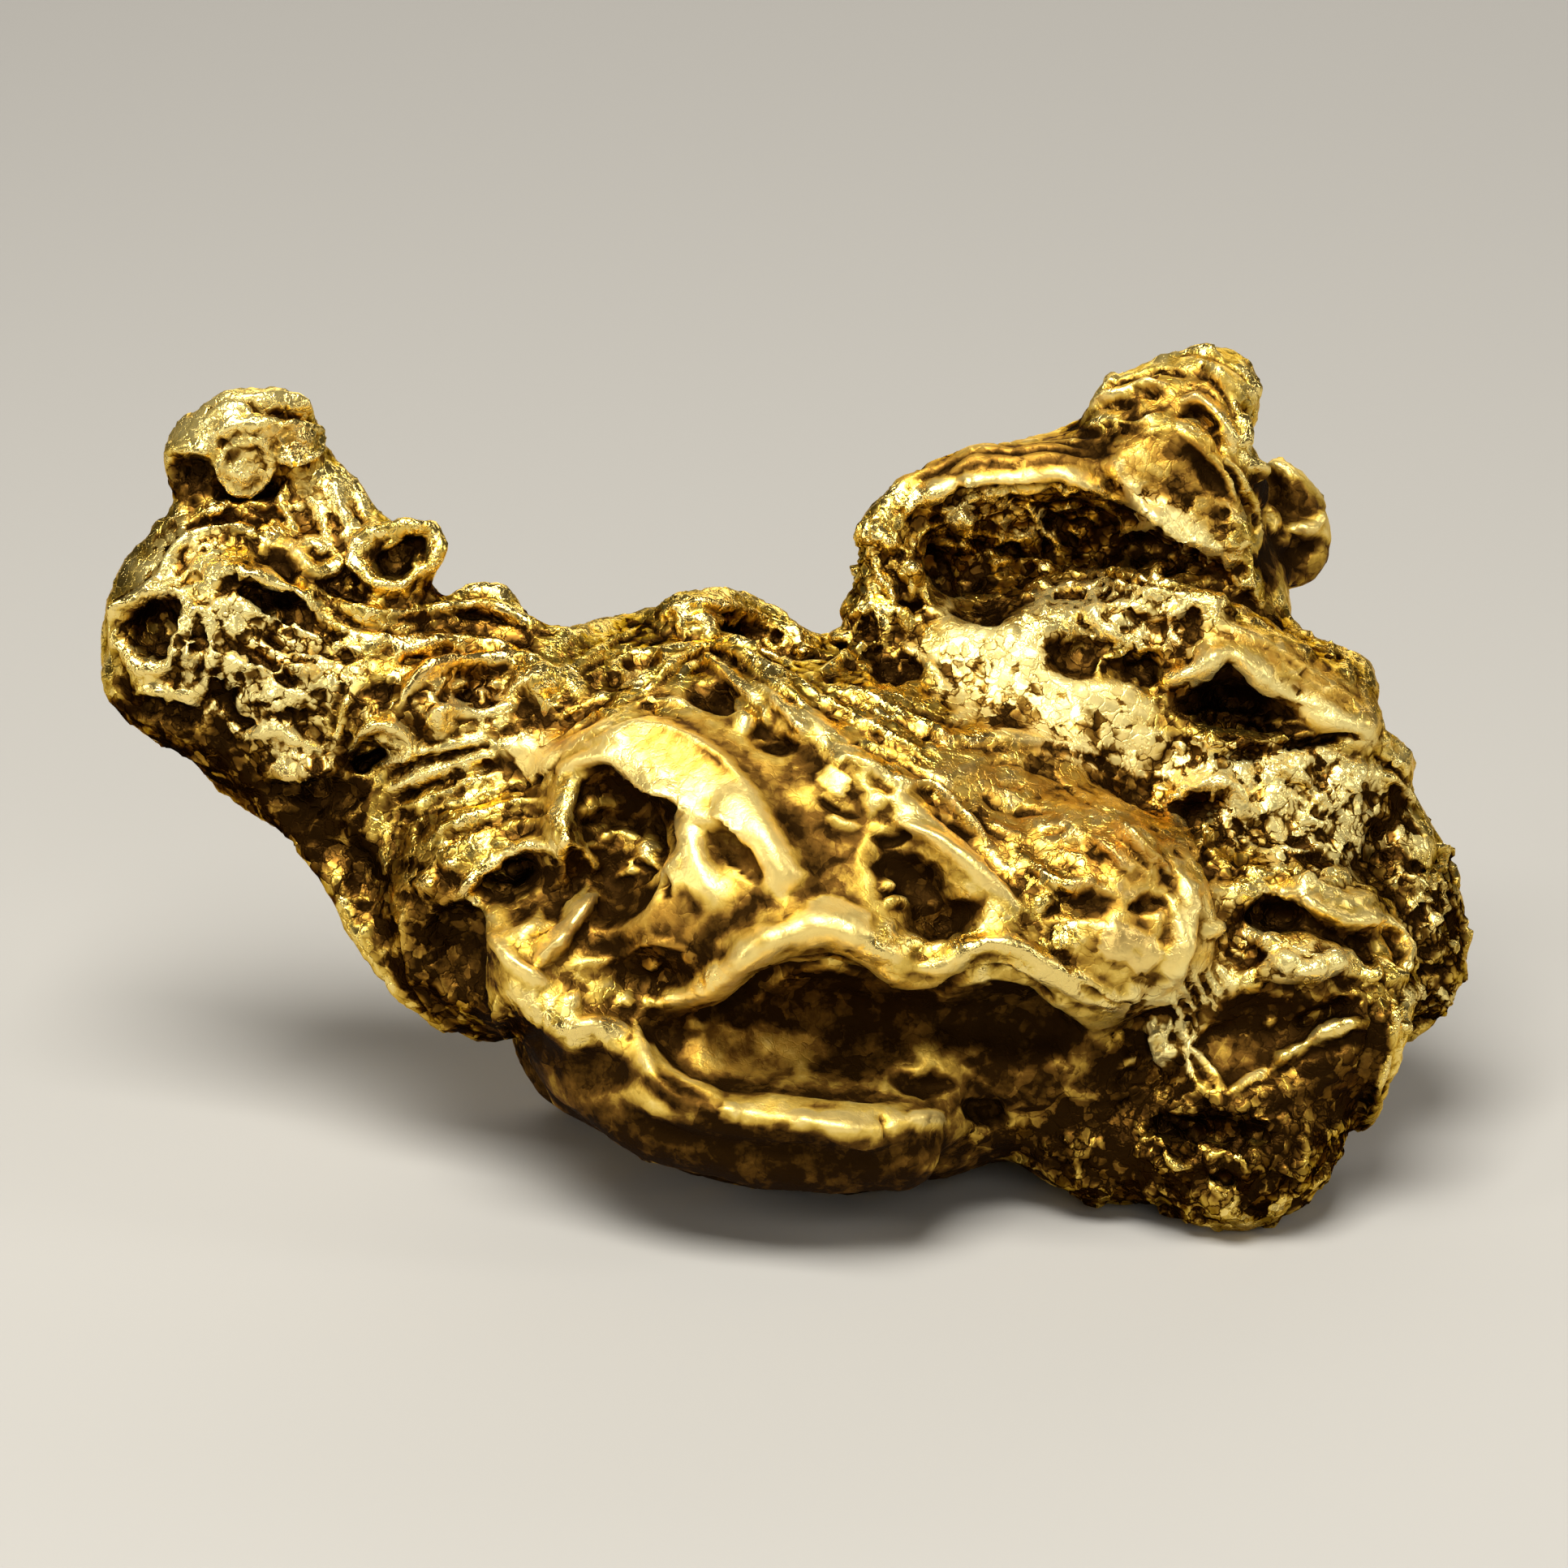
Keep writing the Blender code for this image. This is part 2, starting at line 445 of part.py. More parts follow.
def seat(nugget, lean):
    """Leans the nugget back, with the row frame's origin on the ground under the middle of its box."""
    corners = [lean @ vertex.co for vertex in nugget.data.vertices]
    low = Vector(min(corner[axis] for corner in corners) for axis in range(3))
    high = Vector(max(corner[axis] for corner in corners) for axis in range(3))
    middle = Vector(((low.x + high.x) / 2, (low.y + high.y) / 2, low.z))
    nugget.matrix_world = Matrix.Translation(-middle) @ lean


def native_gold():
    gold = bpy.data.materials.new("native_gold")
    gold.use_nodes = True
    shader = gold.node_tree.nodes["Principled BSDF"]
    shader.inputs["Base Color"].default_value = (0.79, 0.56, 0.18, 1)
    shader.inputs["Metallic"].default_value = 1
    shader.inputs["Roughness"].default_value = 0.36
    return gold


def build():
    for obj in list(bpy.data.objects):
        bpy.data.objects.remove(obj)
    lean = Matrix.Rotation(-LEAN, 4, "X")
    nugget = cast_body()
    cut_hollows(nugget)
    grow_ridges(nugget)
    thin_out(nugget, MOST_TRIANGLES)
    wear_feet(nugget, lean)
    seat(nugget, lean)
    nugget.data.materials.clear()
    nugget.data.materials.append(native_gold())


build()
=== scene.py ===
# A gold nugget on a pale floor: the solid's skin is made fine, sculpted in strokes, grained, stained and
# given painted shade and highlights.

import math
import time

import bmesh
import bpy
import numpy as np
from mathutils import Matrix, Vector
from mathutils.bvhtree import BVHTree


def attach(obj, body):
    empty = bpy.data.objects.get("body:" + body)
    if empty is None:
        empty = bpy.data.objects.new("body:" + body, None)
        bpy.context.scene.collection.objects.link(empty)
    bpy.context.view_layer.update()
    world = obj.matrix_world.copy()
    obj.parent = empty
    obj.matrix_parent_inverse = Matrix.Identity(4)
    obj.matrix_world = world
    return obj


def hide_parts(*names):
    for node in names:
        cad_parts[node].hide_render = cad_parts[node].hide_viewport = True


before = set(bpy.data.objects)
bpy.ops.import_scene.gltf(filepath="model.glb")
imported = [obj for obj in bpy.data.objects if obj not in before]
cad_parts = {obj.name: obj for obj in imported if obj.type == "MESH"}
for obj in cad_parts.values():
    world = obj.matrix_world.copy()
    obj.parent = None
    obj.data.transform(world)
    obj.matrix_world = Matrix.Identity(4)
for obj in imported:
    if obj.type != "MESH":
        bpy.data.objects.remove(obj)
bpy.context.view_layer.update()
startTime = time.time()
mm = 0.001

# The face frame: X across the nugget, Y into it and Z up its face. The camera looks straight along its Y.
view = {
    "lean": math.radians(20),
    "faceOrigin": Vector((-0.06, 0.426, 6.82)) * mm,
    "distance": 118.4 * mm,
    "lens": 150,
    "sensor": 36,
    "middle": (966, 966),  # of the view, in its own units, across and down
    "unitsPerMm": 68,  # on the plane through the face origin
    "nearest": 0.001,
}
faceToWorld = Matrix.Translation(view["faceOrigin"]) @ Matrix.Rotation(-view["lean"], 4, "X")
eye = faceToWorld @ Vector((0, -view["distance"], 0))
unit = mm / view["unitsPerMm"]  # one unit of the view, as a length on the face


def report(stage):
    print(f"{time.time() - startTime:6.1f} s  {stage}")


def linked(obj):
    bpy.context.scene.collection.objects.link(obj)
    return obj


def evaluated(obj):
    bpy.context.view_layer.update()
    graph = bpy.context.evaluated_depsgraph_get()
    return bpy.data.meshes.new_from_object(obj.evaluated_get(graph))


def applyModifiers(obj):
    mesh = evaluated(obj)
    obj.modifiers.clear()
    obj.data = mesh


def valuesOf(data, name, width):
    flat = np.empty(len(data) * width, np.float32)
    data.foreach_get(name, flat)
    return flat.reshape(-1, width).astype(np.float64)


def positionsOf(mesh):
    return valuesOf(mesh.vertices, "co", 3)


def normalsOf(mesh):
    return valuesOf(mesh.vertex_normals, "vector", 3)


def setPositions(mesh, places):
    mesh.vertices.foreach_set("co", places.astype(np.float32).ravel())
    mesh.update()


def attributeOf(mesh, name):
    return valuesOf(mesh.attributes[name].data, "value", 1)[:, 0]


def setAttribute(mesh, name, values):
    attribute = mesh.attributes.get(name) or mesh.attributes.new(name, "FLOAT", "POINT")
    attribute.data.foreach_set("value", np.asarray(values, np.float32))


def smoothly(x):
    x = np.clip(x, 0, 1)
    return x * x * (3 - 2 * x)


def dotted(a, b):
    return (a * b).sum(-1)


def ellipseRadius(across, up, halfWidth, halfHeight, turn):
    c, s = math.cos(math.radians(turn)), math.sin(math.radians(turn))
    return np.hypot((across * c + up * s) / halfWidth, (up * c - across * s) / halfHeight)


# The skin: a fine even copy of the solid, without its facets.

skinSettings = {
    "voxel": 0.085 * mm,
    "softening": 14,  # smoothing passes that take the solid's facets away
    "weld": 1e-6,
    "mostTriangles": 192000,
}


def makeSkin():
    skin = linked(bpy.data.objects.new("nuggetSkin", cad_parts["nugget"].data.copy()))
    bm = bmesh.new()
    bm.from_mesh(skin.data)
    bmesh.ops.remove_doubles(bm, verts=bm.verts, dist=skinSettings["weld"])
    bm.to_mesh(skin.data)
    bm.free()
    remesh = skin.modifiers.new("even", "REMESH")
    remesh.mode = "VOXEL"
    remesh.voxel_size = skinSettings["voxel"]
    soften = skin.modifiers.new("soften", "SMOOTH")
    soften.iterations = skinSettings["softening"]
    applyModifiers(skin)
    return skin


skin = makeSkin()
skinMesh = bmesh.new()
skinMesh.from_mesh(skin.data)
skinTree = BVHTree.FromBMesh(skinMesh)
skinMesh.free()
basePlaces = positionsOf(skin.data)
baseNormals = normalsOf(skin.data)
report(f"skin with {len(skin.data.vertices)} points")


# Strokes and dents: their places are units of the view, across and down, thrown from the eye onto the skin.
# A stroke is its kind, half width, height in mm and path. A star marks gold that is worn smooth and given a
# painted highlight.

strokeForm = {
    "finestStep": 2.0,  # along the path
    "taper": 0.25,  # the part of the path over which each end fades
    "bluntness": 0.15,
    "swayPerMm": (2.9, 1.7, 3.3),  # how fast the unevenness changes along each axis
}
levelForm = {"reach": 2.4, "fade": 0.6}  # how far in mm the skin may move to a plane, and how softly it stops

shifts = np.zeros_like(basePlaces)
polishAndHighlight = np.zeros(len(basePlaces))  # where wear has made the gold smooth, and where a painted highlight brightens it
faceX, faceY, faceZ = (np.array(faceToWorld.to_3x3().col[i]) for i in range(3))


def thrown(u, v):
    aim = faceToWorld @ Vector(((u - view["middle"][0]) * unit, 0, (view["middle"][1] - v) * unit))
    return skinTree.ray_cast(eye, (aim - eye).normalized())


def alike(a, b):
    return smoothly(dotted(a, b) * 3 + 0.6)  # 1 where two directions agree, 0 where they are opposed


def curved(path, step):
    points = np.reshape(path, (-1, 2)).astype(float)
    if len(points) < 3:
        count = max(2, int(np.linalg.norm(points[-1] - points[0]) / step))
        return points[0] + (points[-1] - points[0]) * np.linspace(0, 1, count)[:, None]
    padded = np.vstack([2 * points[0] - points[1], points, 2 * points[-1] - points[-2]])
    places = []
    for a, b, c, d in zip(padded, padded[1:], padded[2:], padded[3:]):
        for t in np.arange(0, 1, step / max(np.linalg.norm(c - b), step)):
            places.append(0.5 * (2 * b + (c - a) * t + (2 * a - 5 * b + 4 * c - d) * t**2
                                 + (3 * b - a - 3 * c + d) * t**3))
    return np.array(places + [points[-1]])


def nearOf(samples, reach):
    low, high = samples.min(0) - reach, samples.max(0) + reach
    return np.nonzero(np.all((basePlaces > low) & (basePlaces < high), axis=1))[0]


def shapeOf(kind, x, side):
    inside = np.clip(1 - x, 0, 1)
    if kind == "rope":
        return (1 - np.clip(x, 0, 1) ** 2) ** 2
    if kind == "crest":
        return inside**1.6
    if kind == "flat":
        return smoothly(inside * 2.2)
    # a ledge: sharp at the path, falling away on its left as the path is travelled
    return np.where(side > 0, smoothly(inside) * smoothly(x * 5 + 0.25), 0)


def stroke(kind, width, height, *path):
    bright, kind = kind.endswith("*"), kind.rstrip("*")
    hits = [thrown(u, v) for u, v in curved(path, max(strokeForm["finestStep"], width / 5))]
    places = np.array([hit[0] for hit in hits if hit[0] is not None])
    normals = np.array([hit[1] for hit in hits if hit[0] is not None])
    if len(places) < 2:
        return
    reach = width * unit
    near = nearOf(places, reach)
    gaps = np.linalg.norm(basePlaces[near][:, None] - places[None], axis=2)
    closest = gaps.argmin(1)
    gap = gaps[np.arange(len(near)), closest]
    keep = gap < reach
    near, closest, gap = near[keep], closest[keep], gap[keep]
    along = closest / (len(places) - 1)
    ends = smoothly(np.minimum(along, 1 - along) / strokeForm["taper"] + strokeForm["bluntness"])
    tangent = np.gradient(places, axis=0)[closest]
    left = np.cross(faceY, tangent)  # the side on the left of the path, seen from the eye
    side = -dotted(basePlaces[near] - places[closest], left)
    facing = alike(baseNormals[near], normals[closest])
    push = baseNormals[near] + normals[closest]
    push /= np.linalg.norm(push, axis=1)[:, None] + 1e-9
    sway = places[closest] / mm @ np.array(strokeForm["swayPerMm"]) + path[0]
    swell = 1 + 0.22 * np.sin(sway) + 0.14 * np.sin(2.3 * sway + 1)  # no stroke is quite even along its run
    breadth = reach * np.clip(0.5 + 0.5 * ends, 0, 1) * (0.92 + 0.12 * np.sin(1.6 * sway + 2))
    shape = shapeOf(kind, gap / breadth, side) * ends * facing
    shifts[near] += push * (height * mm * shape * swell)[:, None]
    # starred strokes: wear that calms the grain, and a painted highlight in the tone
    if bright:
        polishAndHighlight[near] = np.maximum(polishAndHighlight[near], smoothly(shape * 1.6))


def dent(u, v, halfWidth, halfHeight, turn, depth, rim=0.0):
    hit, normal, _, _ = thrown(u, v)
    if hit is None:
        return
    reach = 1.7 * max(halfWidth, halfHeight) * unit
    near = nearOf(np.array([hit]), reach)
    offset = basePlaces[near] - np.array(hit)
    across, up = offset @ faceX / unit, offset @ faceZ / unit
    angle = np.arctan2(up, across)
    wobble = 0.13 * np.sin(2 * angle + u) + 0.09 * np.sin(3 * angle + v) + 0.05 * np.sin(7 * angle + u + v)
    radius = ellipseRadius(across, up, halfWidth, halfHeight, turn) * (1 + wobble)
    facing = alike(baseNormals[near], np.array(normal))
    fade = smoothly((1 - np.linalg.norm(offset, axis=1) / reach) * 4)
    floor = np.clip(1 - (radius / 1.12) ** 2, 0, 1) ** 1.3
    amount = -depth * floor + rim * np.exp(-(((radius - 1.1) / 0.25) ** 2))
    shifts[near] += baseNormals[near] * (amount * mm * facing * fade)[:, None]


def seen(places):
    offset = places - np.array(view["faceOrigin"])
    across, into, up = offset @ faceX, offset @ faceY, offset @ faceZ
    scale = view["distance"] / (view["distance"] + into) / unit
    return view["middle"][0] + across * scale, view["middle"][1] - up * scale, into / mm


baseSeen = seen(basePlaces)


def level(u, v, halfWidth, halfHeight, turn, depth, leanAcross, leanDown):
    seenU, seenV, into = baseSeen
    across, up = seenU - u, v - seenV
    radius = ellipseRadius(across, up, halfWidth, halfHeight, turn)
    need = into - (depth + leanAcross * across / 100 - leanDown * up / 100)
    reach, fade = levelForm["reach"], levelForm["fade"]
    weight = smoothly((1.25 - radius) / 0.4) * smoothly((reach - np.abs(need)) / fade)
    shifts[:] -= faceY * (need * weight * mm)[:, None]


def workStrokes(region, strokes, dents):
    for line in strokes.values():
        stroke(*line)
    for place in dents.values():
        dent(*place)
    report(f"{region}: {len(strokes)} strokes, {len(dents)} dents")


def grab(u, v, radius, du, dv):
    hit, _, _, _ = thrown(u, v)
    if hit is None:
        return
    reach = radius * unit
    near = nearOf(np.array([hit]), reach)
    gap = np.linalg.norm(basePlaces[near] - np.array(hit), axis=1) / reach
    move = (faceX * du - faceZ * dv) * unit
    shifts[near] += smoothly(1 - gap)[:, None] * move


# The cap on the end of the arm, its neck and the ring knob beside it.

capStrokes = {
    "dark slot under the crown": ("rope", 13, -0.30, 300, 500, 330, 503, 360, 508, 388, 516),
    "crown crescent": ("rope*", 11, 0.10, 306, 494, 330, 488, 358, 490, 380, 506),
    "crease from the slot to the left": ("crest", 9, -0.10, 300, 500, 272, 508, 245, 520),
    "left lobe edge": ("ledge", 26, 0.20, 204, 560, 232, 561, 258, 563),
    "dark under the left lobe": ("rope", 30, -0.35, 206, 585, 232, 580, 258, 588),
    "band over the buttons": ("rope", 12, 0.12, 262, 545, 290, 530, 322, 522, 350, 520),
    "dark line under the band": ("crest", 9, -0.12, 262, 556, 282, 545, 304, 538, 330, 540),
    "button rim": ("rope", 9, 0.16, 303, 541, 325, 550, 334, 572, 324, 595, 303, 604, 281, 594, 272, 572,
        281, 550, 303, 541),
    "oval button rim": ("rope*", 9, 0.14, 335, 538, 350, 524, 375, 522, 394, 534, 396, 552, 380, 565,
        355, 570, 338, 560),
    "groove between the buttons": ("crest", 8, -0.16, 334, 536, 338, 556, 334, 580),
    "under the buttons": ("rope", 14, -0.24, 270, 606, 300, 614, 330, 606, 352, 588),
    "neck left rib": ("rope", 11, 0.11, 345, 600, 352, 630, 366, 655),
    "neck middle groove": ("crest", 9, -0.12, 372, 596, 376, 625, 388, 655),
    "neck right rib": ("rope*", 14, 0.11, 400, 590, 412, 620, 432, 650),
    "neck middle rib": ("rope", 10, 0.10, 388, 600, 394, 630, 404, 668),
    "neck right groove": ("crest", 8, -0.16, 424, 592, 434, 622, 450, 650),
    "neck foot rim": ("rope*", 13, 0.14, 352, 660, 366, 684, 388, 704, 414, 700, 428, 684),
    "neck foot hollow": ("rope", 12, -0.22, 382, 668, 396, 684, 410, 676),
}
capDents = {
    "button middle": (303, 572, 22, 22, 0, 0.06),
    "oval button middle": (364, 546, 20, 14, 0, 0.10),
    "ring knob": (482, 688, 33, 33, 0, 0.34, 0.20),
    "ring knob inner lump": (474, 676, 13, 9, 20, -0.30),
    "ring knob inner lump two": (498, 700, 10, 8, -20, -0.26),
}

# The arm: a broad lump with an oval pit, a rib over a smooth hollow, and facets down to a dark underside.

armStrokes = {
    "band over the lump": ("rope", 14, 0.12, 232, 636, 270, 624, 310, 622, 340, 632),
    "groove under the band": ("rope", 10, -0.20, 226, 650, 260, 640, 300, 638, 335, 648),
    "rim of the lump": ("rope*", 15, 0.20, 140, 800, 142, 768, 165, 735, 188, 700, 214, 672, 250, 656,
        300, 655, 335, 668),
    "rim inner line": ("crest", 9, -0.12, 205, 715, 225, 690, 255, 675, 300, 672),
    "upper rib": ("rope*", 15, 0.22, 262, 702, 300, 706, 335, 714, 366, 730, 392, 755),
    "smooth hollow over the rib": ("rope", 24, -0.34, 318, 680, 345, 690, 372, 706),
    "under the rib": ("rope", 16, -0.26, 290, 724, 330, 736, 362, 748, 386, 772),
    "second rib": ("rope", 12, 0.16, 276, 742, 320, 756, 360, 776, 398, 790, 440, 800),
    "groove below it": ("rope", 11, -0.22, 310, 778, 350, 792, 400, 802, 452, 812),
    "third rib": ("rope", 12, 0.14, 250, 770, 262, 800, 300, 820, 350, 826, 410, 826),
    "rib round the pit": ("rope", 13, 0.20, 232, 726, 240, 760, 236, 800, 222, 832),
    "bright step": ("ledge*", 36, 0.20, 166, 850, 208, 862, 248, 866),
    "dark edge below the step": ("rope", 22, -0.30, 166, 868, 205, 880, 250, 884),
    "facet edge": ("ledge", 34, 0.20, 316, 944, 360, 958, 410, 950),
    "dark below the facet": ("rope", 24, -0.32, 318, 966, 360, 978, 405, 968),
    "facet over the hole": ("rope*", 16, 0.16, 300, 905, 330, 900, 370, 912, 402, 934),
    "spiral ridge": ("rope*", 12, 0.24, 430, 925, 450, 900, 480, 896, 504, 912, 500, 934),
    "spiral hollow": ("rope", 15, -0.28, 438, 950, 455, 934, 474, 926),
    "rib down the right": ("rope", 13, 0.16, 430, 850, 424, 880, 416, 912),
    "dark fork": ("crest", 12, -0.30, 284, 796, 318, 810, 350, 834, 376, 850),
    "dark fork two": ("crest", 11, -0.28, 326, 768, 352, 798, 394, 816),
    "crevice by the pit": ("crest", 9, -0.24, 238, 738, 247, 790, 240, 850),
    "crevice to the hole": ("crest", 9, -0.24, 300, 842, 280, 866, 296, 892, 330, 896),
    "long edge of the underside": ("crest", 12, 0.10, 150, 880, 230, 950, 300, 1000, 370, 1040),
}
armDents = {
    "oval pit": (192, 775, 34, 46, 8, 0.28, 0.18),
    "round hole": (268, 861, 24, 18, 20, 0.2),
    "pit by the rib": (356, 742, 22, 13, -20, 0.25),
    "dark hollow under the facets": (400, 985, 50, 26, 20, 0.3),
}

# The saddle between the arm and the ledge: an eye-like pit with a ball, and streaks that fall to the left.

saddleStrokes = {
    "top rib": ("rope", 12, 0.16, 385, 724, 425, 748, 483, 757, 544, 750, 600, 748, 651, 769, 684, 786),
    "groove below the top rib": ("rope", 10, -0.20, 400, 752, 440, 768, 500, 776, 550, 770),
    "small knob": ("rope", 18, 0.18, 552, 738, 590, 730, 640, 742),
    "knob foot": ("crest", 10, -0.18, 548, 756, 600, 760, 650, 776),
    "pit upper rim": ("rope*", 15, 0.26, 492, 876, 506, 846, 540, 822, 585, 812, 628, 818, 648, 838),
    "pit lower rim": ("rope*", 12, 0.18, 520, 880, 560, 878, 606, 878, 640, 862),
    "orange fold over the pit": ("rope", 16, 0.16, 500, 800, 550, 790, 600, 796, 650, 815, 690, 830),
    "groove over the fold": ("rope", 11, -0.20, 480, 820, 530, 806, 590, 806),
    "streak one": ("rope*", 9, 0.14, 462, 946, 500, 930, 540, 920, 600, 908),
    "streak two": ("rope*", 9, 0.14, 470, 975, 520, 955, 570, 938, 616, 930),
    "streak three": ("rope", 9, 0.12, 480, 1000, 530, 985, 580, 965, 630, 950),
    "streak groove one": ("crest", 8, -0.16, 468, 962, 510, 944, 560, 930, 610, 918),
    "streak groove two": ("crest", 8, -0.16, 476, 990, 525, 970, 575, 952, 622, 942),
    "streak groove three": ("crest", 8, -0.14, 486, 1020, 535, 1000, 590, 985, 640, 966),
    "smooth plate": ("flat*", 40, 0.07, 634, 944, 668, 918),
    "plate groove": ("crest", 9, -0.10, 606, 968, 640, 972, 676, 950, 700, 916),
    "streak four": ("rope", 9, 0.14, 520, 1040, 570, 1012, 620, 992, 670, 986),
    "streak groove four": ("crest", 8, -0.16, 540, 1046, 590, 1018, 640, 1004, 680, 1000),
}
saddleDents = {
    "eye pit": (584, 850, 36, 20, 5, 0.16),
    "pit nodule": (592, 857, 13, 10, 0, -0.30),
    "pit nodule two": (572, 843, 10, 8, 0, -0.24),
    "pit nodule three": (608, 843, 10, 7, 0, -0.22),
    "eye pit left": (548, 856, 14, 10, 0, 0.15),
    "ball": (542, 887, 16, 15, 0, -0.24),
    "pit under the arm": (470, 850, 20, 12, 30, 0.14),
}


# The rear hump, and the double crest in front of it that runs down to the right.

humpStrokes = {
    "shoulder line": ("rope", 8, 0.10, 700, 824, 745, 796, 792, 776),
    "shoulder groove": ("crest", 8, -0.14, 712, 832, 755, 808, 798, 788),
    "hump crescent": ("rope", 9, 0.10, 802, 766, 830, 750, 860, 741, 892, 745, 930, 758, 958, 778),
    "crescent groove": ("crest", 8, -0.12, 826, 757, 865, 751, 900, 760, 938, 778),
    "hump plate": ("flat*", 24, 0.09, 832, 766, 860, 766, 884, 776),
    "hump squiggle": ("crest", 9, -0.24, 824, 770, 842, 786, 862, 782, 882, 791, 908, 784, 926, 796),
    "hump foot rim": ("rope*", 10, 0.14, 806, 803, 850, 797, 900, 791, 942, 806, 990, 830),
    "front crest": ("rope", 11, 0.17, 760, 862, 800, 846, 830, 816, 870, 801, 912, 806, 952, 826, 1000, 856,
        1060, 888, 1110, 914, 1160, 944),
    "crest groove": ("crest", 8, -0.12, 815, 842, 846, 818, 884, 808, 926, 830, 976, 860, 1030, 890),
    "bright arch": ("rope*", 15, 0.20, 828, 838, 855, 821, 882, 819, 906, 838, 930, 860, 946, 874),
    "arch second run": ("rope*", 11, 0.17, 950, 856, 974, 880, 998, 903),
    "pocket floor ridge": ("rope", 8, 0.10, 925, 915, 955, 920, 980, 918),
    "old line one": ("rope", 10, 0.12, 696, 908, 738, 882, 780, 868, 828, 865, 862, 878),
    "old line one groove": ("crest", 9, -0.12, 706, 922, 750, 893, 800, 879, 850, 886),
    "old line two": ("rope", 10, 0.10, 680, 890, 720, 868, 765, 852),
    "falling line one": ("crest", 8, -0.12, 1000, 842, 1060, 868, 1110, 890, 1168, 922),
    "falling line two": ("rope", 9, 0.10, 1030, 842, 1080, 862, 1130, 888, 1180, 918),
    "falling line three": ("crest", 8, -0.12, 1010, 905, 1070, 920, 1130, 950, 1180, 985),
    "falling line four": ("rope", 10, 0.12, 1020, 925, 1080, 945, 1130, 970),
}
humpDents = {
    "arch pocket foot": (893, 874, 20, 12, -50, 0.30),
    "second pocket": (968, 904, 32, 17, 0, -0.14),
    "nodule in the pocket": (918, 889, 17, 13, 20, -0.26),
    "second nodule": (944, 886, 12, 12, 0, -0.15),
    "shoulder pocket": (790, 814, 24, 12, 10, 0.28, 0.05),
    "shoulder pocket two": (756, 836, 12, 9, 0, 0.18),
    "nodule ring": (956, 786, 10, 10, 0, 0.12, 0.1),
    "right nodule": (990, 802, 18, 12, -20, -0.16),
    "left lump": (664, 838, 28, 18, 0, -0.15),
}

# The ledge: a large hollow, two bright arms that loop round a slit, a blade and pits on the left.

ledgeStrokes = {
    "hollow arch": ("rope*", 15, 0.20, 684, 968, 698, 948, 722, 936, 752, 932, 782, 948, 806, 966, 834, 978),
    "broad of the loop": ("flat*", 44, 0.06, 872, 990, 900, 1010, 930, 1040, 946, 1080),
    "left arm of the loop": ("rope*", 30, 0.15, 842, 978, 846, 1020, 858, 1062, 876, 1096, 906, 1126),
    "right arm of the loop": ("rope*", 38, 0.07, 862, 968, 904, 984, 932, 1014, 950, 1050, 962, 1088,
        960, 1116),
    "curl in the loop": ("rope", 8, 0.16, 876, 1000, 896, 1010, 912, 1026),
    "hollow right wall": ("rope", 20, -0.22, 806, 1000, 812, 1040, 812, 1080, 822, 1110),
    "hollow inner ridge": ("rope", 9, 0.16, 742, 1030, 764, 1022, 788, 1034),
    "hollow lip": ("rope", 10, 0.16, 704, 1040, 724, 1052, 740, 1076),
    "hollow floor ridge": ("rope", 9, 0.14, 716, 1000, 744, 990, 770, 996),
    "hollow floor groove": ("crest", 9, -0.14, 720, 1012, 750, 1006, 790, 1014),
    "hollow inner ridge two": ("rope", 9, 0.12, 752, 1084, 780, 1072, 800, 1082),
    "blade": ("crest*", 19, 0.40, 656, 1196, 686, 1162, 712, 1128, 736, 1100),
    "ridge to the blade": ("rope*", 14, 0.24, 600, 1146, 622, 1172, 646, 1198, 676, 1214),
    "rim over the dark pit": ("rope*", 14, 0.20, 556, 1112, 584, 1084, 616, 1058, 650, 1042, 682, 1046),
    "left edge rim": ("rope", 12, 0.12, 500, 1110, 500, 1160, 514, 1214, 548, 1262),
    "low left ridge": ("rope", 12, 0.14, 612, 1226, 620, 1262, 640, 1300),
    "shelf brow": ("rope*", 17, 0.18, 690, 1268, 730, 1264, 778, 1272),
    "shelf side": ("rope", 14, 0.14, 780, 1250, 790, 1290, 806, 1328, 838, 1356),
    "shelf groove": ("crest", 10, -0.10, 664, 1206, 668, 1250, 664, 1300),
    "cheek line": ("rope", 12, 0.10, 700, 1190, 760, 1180, 800, 1160, 850, 1170),
    "ridge falling right": ("rope*", 17, 0.24, 1092, 1004, 1136, 1024, 1176, 1050, 1214, 1084, 1256, 1120),
    "ridge above it": ("rope*", 13, 0.18, 1072, 948, 1110, 966, 1150, 972, 1190, 1010, 1222, 1040),
    "groove between them": ("rope", 12, -0.20, 1150, 1000, 1186, 1026, 1222, 1064, 1250, 1096),
    "facets left of it": ("flat*", 20, 0.10, 1010, 950, 1046, 976),
    "facets' foot": ("crest", 10, -0.16, 1004, 980, 1030, 998, 1060, 1008),
    "low facet": ("rope", 12, 0.14, 1016, 1006, 1040, 1018, 1058, 1020),
}
